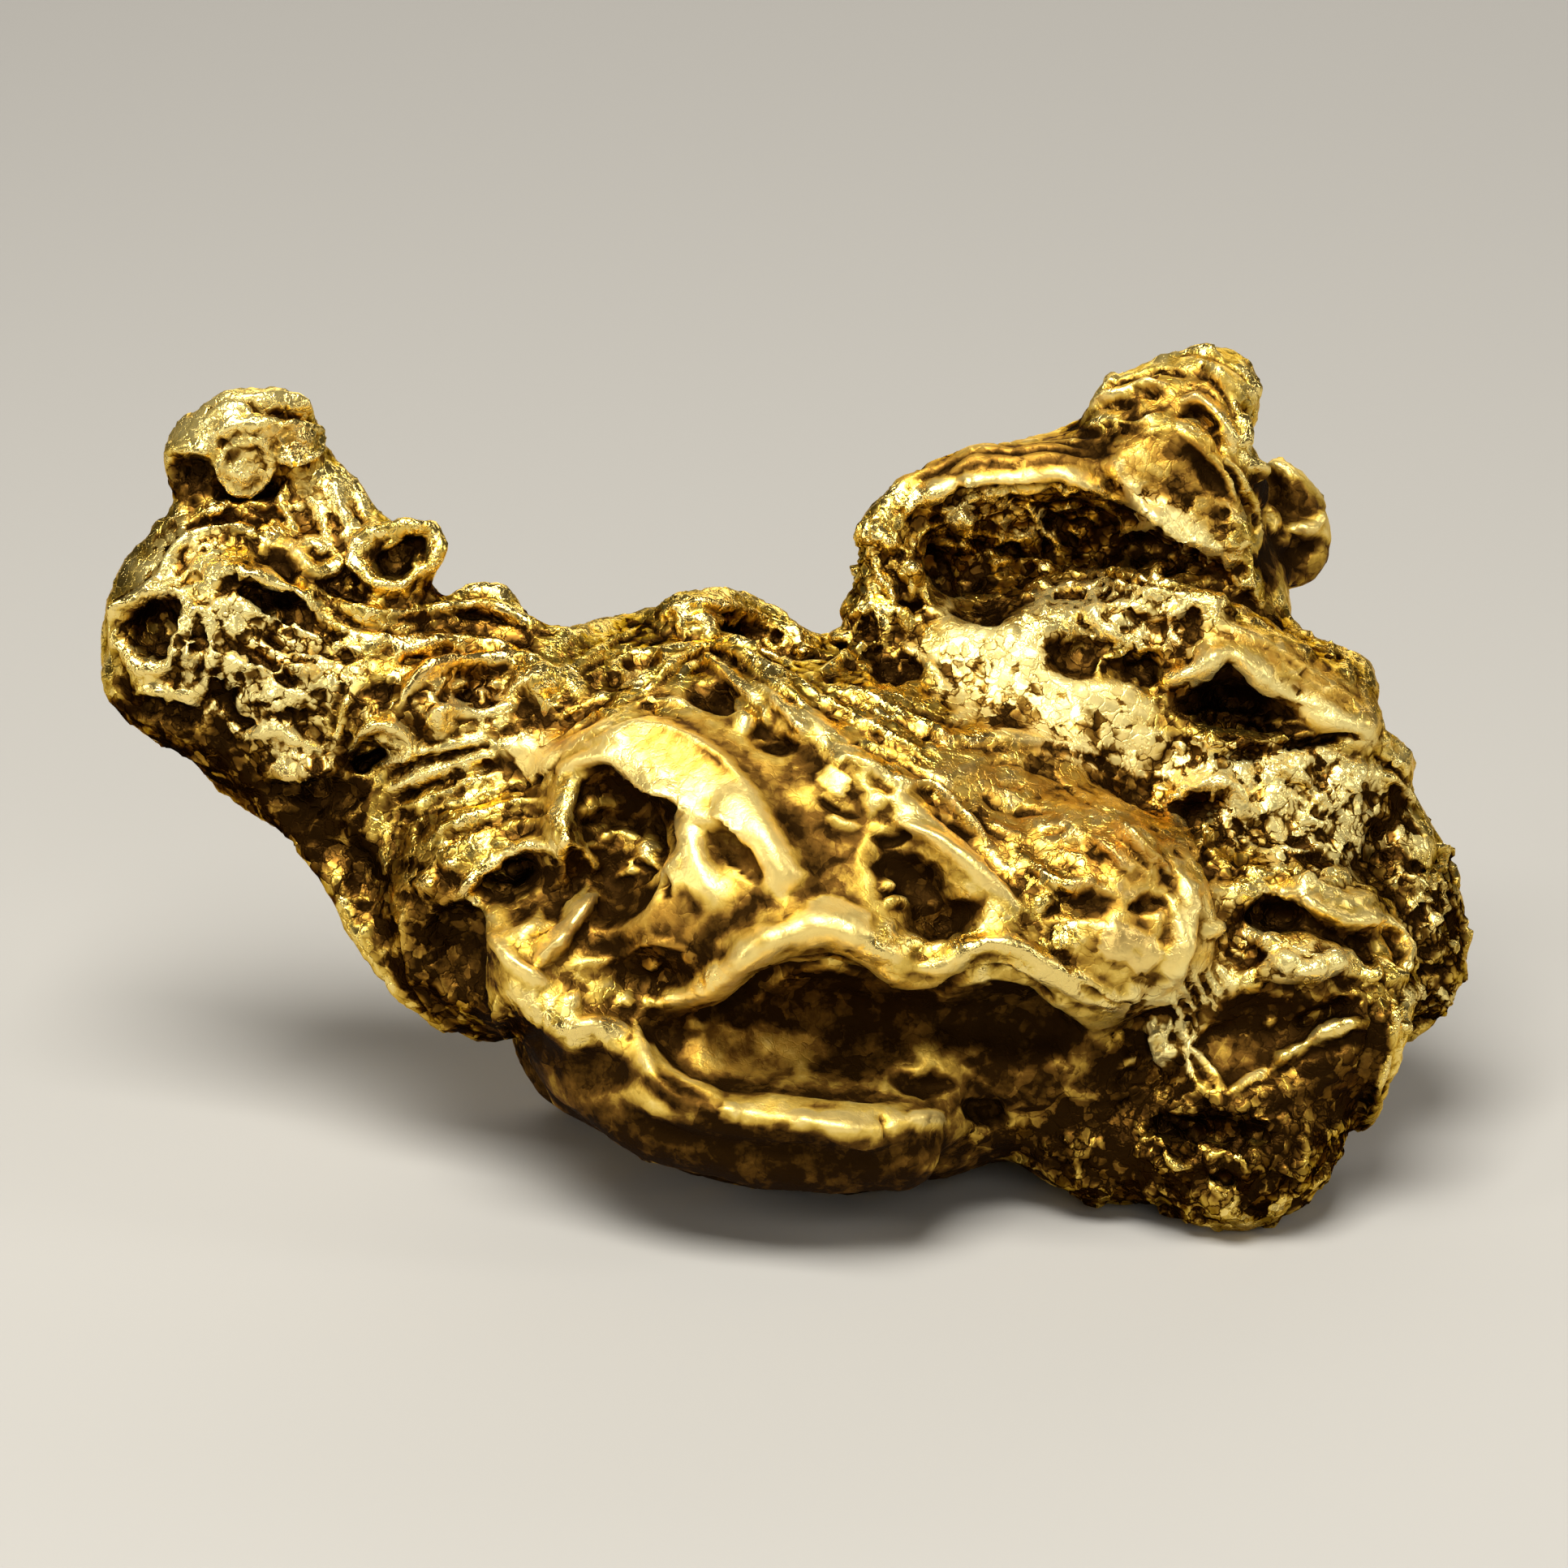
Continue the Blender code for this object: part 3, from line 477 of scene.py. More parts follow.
ledgeDents = {
    "large hollow": (756, 1004, 66, 52, -8, 0.22),
    "large hollow foot": (740, 1070, 46, 34, 0, 0.20),
    "slit in the loop": (905, 1048, 42, 15, -52, 0.26),
    "dark pit left": (628, 1076, 34, 12, 14, 0.32),
    "pit beside the blade": (676, 1136, 32, 14, 48, 0.26),
    "pit over the blade": (700, 1092, 22, 12, 30, 0.30),
    "pit in the hollow foot": (792, 1072, 13, 15, 0, 0.28),
    "left nodule": (528, 1088, 18, 17, 0, -0.24),
    "left nodule two": (556, 1064, 11, 9, 0, -0.14),
    "dark side patch": (552, 1176, 44, 70, 14, 0.2),
    "shelf nodule one": (706, 1232, 12, 11, 0, -0.14),
    "shelf nodule two": (770, 1232, 12, 11, 0, -0.14),
    "shelf nodule three": (804, 1190, 14, 12, 0, -0.16),
    "pit in the slope": (1118, 1078, 46, 30, -35, 0.22),
    "pit in the slope two": (1160, 1134, 46, 24, 10, 0.26),
    "nodule in the pit": (1094, 1092, 11, 9, 0, -0.22),
    "nodule in the pit two": (1104, 1112, 16, 8, -10, -0.18),
    "upper slope pit": (1086, 962, 18, 12, -30, 0.22),
    "upper slope pit two": (1098, 1034, 20, 10, 10, 0.2),
    "facet nodule": (1076, 990, 18, 14, 0, -0.14),
}

# The mouth: two lips round a wide recess, and the smooth belly under the lower lip.

mouthStrokes = {
    "upper lip": ("rope*", 30, 0.22, 796, 1238, 850, 1224, 896, 1202, 932, 1168, 972, 1150, 1024, 1144,
        1072, 1164, 1112, 1186),
    "upper lip right": ("rope*", 18, 0.22, 1112, 1190, 1160, 1190, 1198, 1168, 1240, 1164, 1290, 1190,
        1336, 1224, 1392, 1246),
    "lip facet": ("flat*", 34, 0.10, 990, 1118, 1030, 1130, 1070, 1150),
    "roof of the mouth": ("rope", 24, -0.30, 850, 1256, 910, 1226, 960, 1196, 1024, 1186, 1080, 1204),
    "roof of the mouth right": ("rope", 24, -0.26, 1150, 1220, 1210, 1200, 1260, 1214, 1310, 1250),
    "lower lip": ("rope", 18, 0.12, 806, 1340, 846, 1360, 900, 1370, 960, 1380, 1030, 1390, 1084, 1392,
        1130, 1380, 1176, 1378),
    "bright roll": ("rope*", 25, 0.18, 968, 1376, 1020, 1386, 1066, 1394),
    "small roll": ("rope*", 18, 0.10, 886, 1368, 912, 1372),
    "bright roll two": ("rope*", 20, 0.16, 1116, 1382, 1166, 1376),
    "gap in the lip": ("crest", 12, -0.14, 1086, 1372, 1092, 1406),
    "under the lower lip": ("rope", 24, -0.14, 770, 1362, 820, 1394, 890, 1412, 980, 1420, 1070, 1426,
        1146, 1414),
    "edge of the rough floor": ("crest", 10, 0.08, 1180, 1312, 1210, 1330, 1240, 1352, 1280, 1370),
}
mouthDents = {
    "chin dimple": (738, 1318, 46, 30, -20, 0.2),
    "ragged hole": (1140, 1334, 44, 15, -8, 0.28),
    "ragged hole right": (1216, 1372, 34, 16, -30, 0.30),
    "mouth floor": (900, 1310, 90, 34, -12, 0.20),
    "nodule on the wall": (930, 1222, 14, 10, -20, -0.12),
}

# The slope to the right of the ledge: brown and wrinkled, with a rolled bright end.

slopeStrokes = {
    "edge of the pale band": ("ledge", 26, 0.04, 1150, 906, 1220, 918, 1296, 915, 1350, 932, 1402, 958),
    "line under the band": ("crest", 8, -0.05, 1150, 912, 1220, 924, 1296, 921, 1350, 938, 1404, 964,
        1440, 1000),
    "slit one": ("crest", 8, -0.22, 1232, 966, 1264, 968),
    "slit two": ("crest", 8, -0.20, 1284, 1024, 1314, 1022),
    "loose fold": ("rope", 11, 0.14, 1212, 1008, 1232, 1024, 1262, 1030),
    "end fold one": ("rope", 10, 0.16, 1372, 1012, 1400, 1032, 1428, 1060, 1446, 1090),
    "end groove one": ("crest", 9, -0.18, 1364, 1022, 1392, 1046, 1418, 1074),
    "end fold two": ("rope", 10, 0.14, 1340, 1026, 1368, 1046, 1396, 1076),
    "rolled end": ("rope*", 24, 0.18, 1436, 1046, 1462, 1090, 1468, 1140, 1452, 1190, 1414, 1236),
    "inside the roll": ("rope", 13, -0.12, 1434, 1100, 1440, 1140, 1428, 1180),
    "bright lobe": ("flat*", 34, 0.14, 1352, 1156, 1396, 1166, 1424, 1190),
    "lobe edge": ("rope", 12, 0.09, 1262, 1052, 1282, 1072, 1314, 1092, 1346, 1090, 1376, 1104),
    "wrinkle one": ("crest", 9, -0.10, 1190, 940, 1240, 940, 1290, 955, 1330, 980),
    "wrinkle two": ("crest", 9, -0.10, 1300, 960, 1340, 990, 1370, 1000, 1400, 1010),
    "wrinkle three": ("crest", 9, -0.10, 1200, 970, 1230, 995, 1260, 1000, 1300, 1000),
    "wrinkle four": ("crest", 9, -0.10, 1310, 1040, 1340, 1050, 1370, 1066),
    "low line": ("rope", 11, 0.12, 1290, 1190, 1330, 1200, 1370, 1224, 1400, 1230),
}
slopeDents = {
    "hollow in the slope": (1324, 1112, 44, 22, -6, 0.26),
    "hollow in the roll": (1414, 1112, 24, 12, 20, 0.26),
    "nodule in the hollow": (1286, 1110, 18, 12, 45, -0.18),
}


# The right part: a nodular shelf, an eyelid over a dark hollow, and an arched lump below.

shelfStrokes = {
    "shelf curl": ("rope*", 15, 0.22, 1286, 768, 1292, 740, 1318, 724, 1350, 734, 1350, 762, 1372, 782,
        1400, 790),
    "shelf curl inside": ("crest", 9, -0.16, 1310, 752, 1330, 748, 1336, 770, 1356, 786),
    "shelf run": ("rope", 13, 0.14, 1372, 740, 1410, 752, 1440, 760, 1470, 744),
    "shelf run two": ("rope", 12, 0.12, 1400, 800, 1430, 796, 1450, 780),
    "line between the pockets": ("rope", 7, 0.20, 1352, 838, 1362, 812, 1390, 800),
    "eyelid left": ("rope*", 18, 0.20, 1428, 842, 1462, 830, 1490, 814, 1512, 800),
    "eyelid right": ("rope*", 24, 0.26, 1512, 800, 1544, 830, 1584, 858, 1626, 882, 1684, 898),
    "lid slope": ("flat", 22, 0.12, 1540, 806, 1590, 838, 1650, 872),
    "eyelid upper rib": ("rope", 13, 0.05, 1452, 796, 1500, 770, 1552, 788, 1604, 822, 1650, 852, 1686, 880),
    "eyelid groove": ("crest", 9, -0.04, 1476, 802, 1514, 786, 1560, 808, 1616, 846, 1668, 876),
    "eyelid groove two": ("crest", 8, -0.05, 1500, 750, 1550, 770, 1600, 800, 1640, 830),
    "lens top": ("rope", 9, 0.16, 1452, 886, 1500, 880, 1560, 888, 1616, 892),
    "lens middle": ("rope", 8, -0.12, 1470, 896, 1520, 894, 1570, 898),
    "lens foot": ("rope", 9, 0.14, 1462, 906, 1520, 916, 1580, 912, 1636, 900),
    "under the lens": ("rope", 12, -0.24, 1500, 930, 1560, 926, 1620, 912, 1680, 906),
    "arched lump": ("rope*", 13, 0.22, 1434, 992, 1462, 974, 1496, 965, 1528, 980, 1542, 998),
    "under the arch": ("rope", 10, -0.12, 1462, 996, 1490, 998, 1520, 1000),
    "fold by the band": ("rope", 9, 0.14, 1452, 912, 1462, 926),
    "right outline fold": ("rope", 9, 0.14, 1700, 910, 1722, 918, 1740, 932),
    "right outline fold two": ("rope", 9, 0.16, 1700, 952, 1726, 966, 1742, 992),
    "right fold groove": ("crest", 9, -0.18, 1690, 930, 1714, 944, 1736, 962),
    "diagonal fold": ("rope", 12, 0.14, 1560, 940, 1600, 960, 1630, 984),
    "diagonal groove": ("crest", 9, -0.16, 1548, 930, 1552, 970, 1556, 1010),
    "band foot line": ("crest", 9, -0.14, 1520, 1006, 1530, 1040, 1520, 1080),
    "band foot line two": ("rope", 10, 0.12, 1560, 1040, 1600, 1052, 1640, 1040),
}
shelfDents = {
    "eyelid hollow": (1536, 866, 74, 26, -14, 0.2),
    "eyelid hollow peak": (1516, 836, 22, 20, 0, 0.22),
    "nodule right": (1662, 958, 20, 24, 20, -0.24),
    "nodule right two": (1620, 1010, 22, 15, -20, -0.2),
    "nodule right three": (1600, 940, 14, 12, 0, -0.14),
    "nodule low": (1644, 1084, 18, 13, 0, -0.24),
    "nodule low two": (1610, 1088, 12, 11, 0, -0.18),
    "band foot lump": (1480, 1030, 22, 20, 30, -0.2),
    "band foot lump two": (1500, 1062, 20, 16, -30, -0.18),
    "dark side": (1700, 1050, 26, 44, 0, 0.2),
    "top lump": (1608, 800, 14, 12, 0, -0.12),
    "top lump two": (1640, 800, 14, 12, 0, -0.12),
    "top lump three": (1660, 826, 12, 14, 0, -0.12),
}

# The block at the lower right: a rim round a recess with a square facet and a bar, and a rough underside.

blockStrokes = {
    "block rim": ("rope*", 15, 0.24, 1536, 1108, 1568, 1096, 1602, 1102, 1632, 1122, 1662, 1134, 1698, 1130,
        1724, 1150, 1732, 1182, 1724, 1210),
    "block rim right": ("rope*", 14, 0.22, 1692, 1136, 1716, 1152, 1728, 1184, 1724, 1214),
    "block right edge": ("rope", 11, 0.16, 1722, 1216, 1716, 1270, 1704, 1322, 1684, 1358, 1654, 1396),
    "inside the right edge": ("rope", 14, -0.18, 1698, 1230, 1692, 1280, 1676, 1326),
    "bright plate": ("flat*", 20, 0.20, 1572, 1176, 1598, 1192),
    "bright plate two": ("crest*", 18, 0.24, 1596, 1196, 1636, 1190),
    "bright plate three": ("flat*", 15, 0.16, 1634, 1180, 1656, 1186),
    "dark under the plate": ("rope", 17, -0.26, 1550, 1216, 1610, 1218, 1660, 1212, 1694, 1216),
    "rib one": ("crest*", 7, 0.22, 1500, 1190, 1520, 1218),
    "rib two": ("crest*", 7, 0.22, 1484, 1194, 1506, 1230),
    "rib three": ("crest*", 7, 0.22, 1468, 1200, 1488, 1238),
    "rib four": ("crest*", 7, 0.22, 1454, 1212, 1472, 1246),
    "rib five": ("crest*", 7, 0.20, 1442, 1226, 1458, 1258),
    "left bright ridge": ("flat*", 24, 0.16, 1434, 1250, 1430, 1280, 1444, 1312),
    "left ridge facet": ("crest*", 14, 0.14, 1416, 1278, 1440, 1262),
    "left ridge facet two": ("crest*", 12, 0.14, 1424, 1306, 1452, 1290),
    "left ridge groove": ("crest", 9, -0.18, 1464, 1250, 1466, 1280),
    "square facet side": ("rope*", 10, 0.18, 1468, 1290, 1490, 1318, 1512, 1346),
    "square facet foot": ("rope*", 9, 0.16, 1512, 1348, 1540, 1330, 1566, 1318),
    "bar": ("rope*", 14, 0.28, 1576, 1308, 1610, 1286, 1642, 1270, 1682, 1254),
    "floor under the bar": ("rope", 16, 0.10, 1590, 1326, 1630, 1308, 1676, 1290),
    "dark over the bar": ("rope", 14, -0.16, 1590, 1264, 1630, 1248, 1670, 1234),
    "squiggle one": ("crest*", 10, 0.24, 1410, 1402, 1428, 1410, 1446, 1432, 1470, 1438),
    "squiggle two": ("crest*", 10, 0.24, 1480, 1428, 1504, 1424, 1528, 1430, 1536, 1448),
    "dark over the squiggles": ("rope", 22, -0.28, 1420, 1376, 1470, 1392, 1520, 1402),
    "bright bits": ("crest*", 10, 0.22, 1602, 1398, 1604, 1420, 1600, 1436),
    "bright bits two": ("rope", 9, 0.18, 1574, 1436, 1592, 1446, 1604, 1446),
    "low edge run": ("rope", 11, 0.14, 1640, 1400, 1660, 1380, 1684, 1356),
    "floor line": ("rope", 12, 0.12, 1300, 1340, 1360, 1350, 1420, 1340),
    "floor line two": ("crest", 10, -0.14, 1460, 1350, 1500, 1372, 1560, 1372, 1620, 1350),
    "far rib one": ("crest*", 8, 0.20, 1732, 1124, 1748, 1114, 1766, 1106),
    "far rib two": ("crest*", 8, 0.20, 1744, 1146, 1764, 1136, 1786, 1122),
    "far rib three": ("crest*", 8, 0.16, 1760, 1090, 1776, 1086, 1790, 1100),
    "far line": ("crest", 9, -0.20, 1736, 1192, 1762, 1196, 1794, 1194),
    "far edge": ("rope", 10, 0.14, 1770, 1042, 1796, 1062, 1806, 1100, 1804, 1140),
    "far groove": ("crest", 9, -0.18, 1744, 1060, 1760, 1076, 1770, 1100),
}
blockDents = {
    "rim hollow": (1574, 1130, 50, 20, -6, 0.26),
    "rim hollow end": (1646, 1150, 40, 13, -16, 0.30),
    "rim hollow right": (1690, 1168, 22, 24, 0, 0.26),
    "dark left of the plate": (1534, 1168, 26, 26, 0, 0.24),
    "plate nodule": (1499, 1144, 18, 11, 12, -0.16),
    "plate nodule two": (1526, 1172, 9, 7, 0, -0.16),
    "plate nodule three": (1562, 1160, 12, 9, 0, -0.2),
    "bar end": (1580, 1306, 13, 11, 0, -0.26),
    "ball": (1562, 1260, 10, 9, 0, -0.22),
    "bar ball": (1676, 1260, 12, 13, 0, -0.16),
    "corner nodule": (1692, 1200, 13, 12, 0, -0.2),
    "corner nodule two": (1716, 1206, 14, 12, 0, -0.18),
    "far nodule": (1748, 1226, 15, 11, 0, -0.2),
    "far nodule two": (1778, 1228, 12, 11, 0, -0.2),
    "far pit": (1752, 1170, 20, 12, 0, 0.2),
    "far pit two": (1752, 1266, 18, 14, 0, 0.2),
    "under pit": (1556, 1398, 30, 16, -10, 0.24),
    "under pit two": (1510, 1454, 22, 12, 0, 0.2),
    "under nodule": (1320, 1402, 12, 10, 0, -0.16),
    "under nodule two": (1296, 1410, 12, 10, 0, -0.14),
    "left nodule": (1396, 1222, 15, 12, 0, -0.14),
    "edge nodule": (1392, 1308, 14, 12, 0, -0.18),
}

# The horn: a roofed cave with a bright brow, a brown front face, ridges up to the tip, and the knob behind.

hornStrokes = {
    "brow": ("rope*", 14, 0.24, 1092, 662, 1118, 638, 1150, 614, 1190, 602, 1240, 594, 1300, 589, 1350, 598,
        1392, 620, 1440, 650, 1484, 684, 1518, 704),
    "brow right": ("rope*", 18, 0.12, 1400, 624, 1450, 650, 1490, 680, 1516, 704),
    "roof groove": ("crest", 9, -0.12, 1106, 640, 1140, 600, 1196, 574, 1260, 562, 1330, 560, 1390, 556),
    "roof line": ("rope", 8, 0.08, 1120, 606, 1166, 574, 1226, 556, 1296, 549, 1370, 540),
    "roof groove two": ("crest", 8, -0.10, 1130, 592, 1180, 562, 1240, 548, 1300, 541, 1350, 532),
    "under the brow": ("rope", 16, -0.26, 1150, 628, 1200, 614, 1260, 604, 1330, 608),
    "face edge": ("rope", 9, 0.16, 1448, 526, 1480, 552, 1508, 580, 1524, 624, 1534, 680, 1546, 744),
    "face edge two": ("rope", 8, 0.12, 1500, 556, 1532, 592, 1546, 640, 1546, 700),
    "face edge groove": ("crest", 7, -0.16, 1486, 556, 1520, 590, 1536, 640, 1540, 700),
    "face top": ("ledge", 20, 0.06, 1404, 540, 1430, 530, 1452, 528),
    "face shade": ("rope", 16, -0.10, 1470, 560, 1496, 600, 1510, 650),
    "bright band": ("rope*", 13, 0.22, 1346, 508, 1380, 492, 1412, 478, 1438, 474),
    "bright band two": ("rope", 9, 0.12, 1330, 536, 1366, 520, 1404, 522, 1436, 506),
    "slit one": ("crest", 7, -0.24, 1358, 507, 1384, 503, 1398, 500),
    "slit two": ("crest", 7, -0.24, 1396, 488, 1412, 484, 1428, 487),
    "right ridge": ("rope*", 12, 0.22, 1446, 496, 1478, 494, 1500, 510, 1514, 536, 1522, 562),
    "right ridge groove": ("rope", 9, -0.24, 1450, 514, 1474, 510, 1494, 532, 1510, 560),
    "tip line": ("rope", 8, 0.12, 1468, 440, 1500, 460, 1526, 492, 1536, 530, 1542, 562),
    "tip groove": ("crest", 8, -0.20, 1460, 452, 1490, 468, 1514, 494, 1526, 530),
    "tip groove two": ("crest", 8, -0.12, 1486, 436, 1520, 458, 1544, 498),
    "tip crest": ("rope", 10, 0.12, 1346, 480, 1380, 456, 1430, 442, 1470, 434, 1508, 438),
    "tip crest groove": ("crest", 9, -0.22, 1356, 492, 1398, 464, 1438, 454, 1474, 466),
    "knob rim": ("rope*", 12, 0.20, 1570, 566, 1600, 572, 1622, 590, 1634, 614),
    "knob left rim": ("rope*", 12, 0.18, 1540, 566, 1552, 578, 1546, 596),
    "knob fold": ("rope*", 13, 0.24, 1630, 630, 1618, 648, 1594, 650),
    "cave rib one": ("rope*", 8, 0.20, 1262, 616, 1284, 646, 1310, 680),
    "cave rib two": ("rope", 11, 0.16, 1166, 636, 1204, 652, 1262, 668),
    "cave rib three": ("rope*", 8, 0.18, 1356, 666, 1392, 644, 1424, 652),
    "cave rib four": ("rope", 7, 0.18, 1440, 692, 1484, 664),
    "cave rib five": ("rope", 8, 0.14, 1310, 640, 1340, 634, 1360, 646),
    "cave rib six": ("rope", 8, 0.14, 1200, 700, 1250, 690, 1300, 700, 1340, 690),
    "cave groove one": ("crest", 9, -0.20, 1280, 616, 1306, 646, 1330, 676),
    "cave groove two": ("crest", 9, -0.20, 1160, 658, 1210, 672, 1270, 684),
    "cave groove three": ("crest", 9, -0.20, 1360, 684, 1400, 668, 1440, 676, 1490, 700),
    "cave floor line": ("rope", 12, -0.24, 1290, 712, 1360, 706, 1440, 718, 1510, 722),
    "left pillar fold": ("rope", 12, 0.18, 1076, 680, 1090, 720, 1110, 750, 1120, 790),
    "left pillar fold two": ("rope", 12, 0.18, 1112, 690, 1132, 716, 1144, 744),
    "left pillar groove": ("crest", 10, -0.22, 1100, 700, 1116, 730, 1128, 764),
    "pillar foot fold": ("rope", 12, 0.18, 1010, 830, 1050, 812, 1090, 790),
    "pillar foot fold two": ("rope", 12, 0.18, 1110, 790, 1140, 816, 1166, 850),
}
hornDents = {
    "cave left": (1150, 700, 30, 44, 10, 0.26),
    "cave teeth": (1194, 602, 12, 9, 0, -0.2),
    "cave teeth two": (1184, 640, 15, 11, -20, -0.2),
    "cave teeth three": (1262, 662, 18, 12, -20, -0.2),
    "knob hole": (1584, 612, 44, 26, -28, 0.50),
    "knob foot pit": (1612, 676, 28, 14, 20, 0.24),
    "knob nodule": (1566, 638, 18, 20, 0, -0.24),
    "knob nodule two": (1580, 668, 12, 10, 0, -0.14),
    "pillar pit": (1118, 746, 18, 9, 0, 0.24),
    "pillar pit two": (1070, 772, 13, 22, -20, 0.22),
    "pillar foot hollow": (1108, 826, 42, 15, 4, 0.28),
    "pillar nodule": (1058, 800, 14, 12, 0, -0.2),
    "pillar nodule two": (1036, 786, 16, 12, 30, -0.2),
    "pillar nodule three": (1144, 830, 12, 12, 0, -0.16),
    "pillar nodule four": (1094, 670, 16, 14, 0, -0.14),
}

# Small shoves that true up the outline: place, radius, then the shift across and down.

outlineGrabs = {
    "crown left": (275, 505, 60, -2, -16),
    "crown right": (375, 505, 60, 8, 2),
    "neck right": (420, 600, 60, 9, -3),
    "ring knob right": (510, 680, 70, 16, -10),
    "arm left": (185, 690, 70, 16, 4),
    "arm low left": (150, 850, 70, -16, 10),
    "roof left": (1118, 608, 60, -6, -14),
    "roof": (1200, 568, 74, 0, -17),
    "roof right": (1290, 560, 60, 0, -10),
    "tip left": (1370, 490, 60, -10, -8),
    "tip right": (1535, 480, 50, 14, 0),
    "knob": (1590, 590, 70, -12, -14),
}

# Flat parts: place, half width and height, turn, depth in mm, then its change per 100 across and down.

levels = {
    "broad plate of the loop": (850, 955, 100, 40, -38, -3.75, -0.25, -1.0),
    "face of the horn": (1452, 618, 98, 44, -38, -0.60, 0.15, 0.15),
    "square facet": (1516, 1300, 46, 36, 20, -2.60, 0.1, -0.3),
}

for name, strokes, dents in (("cap", capStrokes, capDents), ("arm", armStrokes, armDents),
                             ("saddle", saddleStrokes, saddleDents), ("hump", humpStrokes, humpDents),
                             ("ledge", ledgeStrokes, ledgeDents), ("mouth", mouthStrokes, mouthDents),
                             ("slope", slopeStrokes, slopeDents), ("shelf", shelfStrokes, shelfDents),
                             ("block", blockStrokes, blockDents), ("horn", hornStrokes, hornDents)):
    workStrokes(name, strokes, dents)
for place in levels.values():
    level(*place)
for place in outlineGrabs.values():
    grab(*place)


# Zones of the finish and of painted shade and light, each a soft ellipse of the view: middle, half width,
# half height, turn, strength.

def zoneOf(places, facing, ellipses):
    u, v, _ = seen(places)
    weight, eased = np.zeros(len(places)), np.zeros(len(places))
    uneven = 1 + 0.10 * np.sin(u / 9 + np.sin(v / 13)) + 0.10 * np.sin(v / 8 + 2 * np.sin(u / 17))
    for middleU, middleV, *form, strength in ellipses.values():
        radius = ellipseRadius(u - middleU, middleV - v, *form)
        amount = strength * smoothly((1.3 - radius * uneven) / 0.6)
        if strength > 0:
            weight = np.maximum(weight, amount)
        else:
            eased += amount
    return (weight + eased) * facing


grainZones = {
    "pale band": (1290, 850, 190, 80, -30, 0.35),
    "shelf": (1400, 770, 130, 50, 0, 0.8),
    "band foot": (1560, 1010, 190, 110, -25, 0.8),
    "strut": (1090, 740, 60, 110, 0, 1.0),
    "cave wall": (1320, 660, 200, 80, 0, 0.9),
    "far lump": (1780, 1170, 60, 140, 0, 0.9),
    "underside": (1480, 1430, 220, 90, 0, 0.9),
    "arm face": (330, 800, 130, 140, 0, 0.7),
}
smoothZones = {
    "lower lip": (900, 1400, 340, 120, -8, 1.0),
    "mouth": (1070, 1290, 320, 110, 0, 0.9),
    "ledge": (900, 1040, 230, 170, -10, 0.95),
    "arch": (780, 930, 110, 50, 0, 0.8),
    "ledge left": (680, 1170, 110, 80, 0, 0.7),
    "ridges falling right": (1130, 1040, 160, 60, -40, 0.7),
    "rolled end": (1420, 1150, 90, 110, 0, 0.7),
    "slope": (1290, 990, 160, 60, -20, 0.35),
    "block rim": (1650, 1130, 100, 40, -20, 0.5),
    "block recess": (1560, 1290, 120, 90, 0, 0.4),
    "horn roof": (1230, 566, 210, 36, 0, 0.85),
    "horn face": (1450, 600, 80, 80, 0, 0.6),
    "horn tip": (1440, 480, 100, 50, 10, 0.5),
    "eyelid": (1580, 840, 130, 44, -32, 0.7),
    "pale band": (1290, 856, 170, 66, -25, 0.75),
    "smooth plate": (650, 932, 34, 24, 20, 0.9),
    "square facet": (1520, 1306, 44, 34, 0, 0.9),
    "large hollow": (760, 1020, 80, 80, 0, -0.5),
    "knob": (1600, 640, 60, 90, 0, 0.8),
    "arm hollow": (345, 688, 30, 22, -20, 0.6),
}
stainZones = {
    "ledge slope": (1310, 1000, 190, 90, -25, 1.0),
    "saddle": (560, 800, 90, 60, 0, 0.7),
    "rolled end": (1380, 1110, 80, 90, 0, 0.5),
    "gold in the mouth": (936, 1294, 90, 34, 0, 0.7),
    "above the plate": (880, 915, 110, 26, -38, 0.6),
    "under the loop": (800, 1150, 110, 44, 0, 0.8),
    "between the arches": (700, 900, 80, 26, 25, 0.5),
    "arm band": (285, 635, 70, 20, 0, 0.6),
    "horn face": (1440, 590, 90, 54, -30, 0.9),
    "horn roof": (1240, 560, 180, 26, 5, 0.7),
    "eyelid": (1616, 816, 120, 34, -34, 0.9),
    "shelf end": (1450, 790, 40, 40, 0, 0.7),
    "horn tip": (1460, 480, 40, 26, 0, 0.7),
    "hump": (910, 760, 50, 20, -25, 0.6),
    "cap dimple": (354, 540, 26, 20, 0, 0.8),
    "under the arm": (300, 980, 150, 90, -40, 0.5),
    "left edge": (540, 1160, 60, 110, 10, 0.8),
}
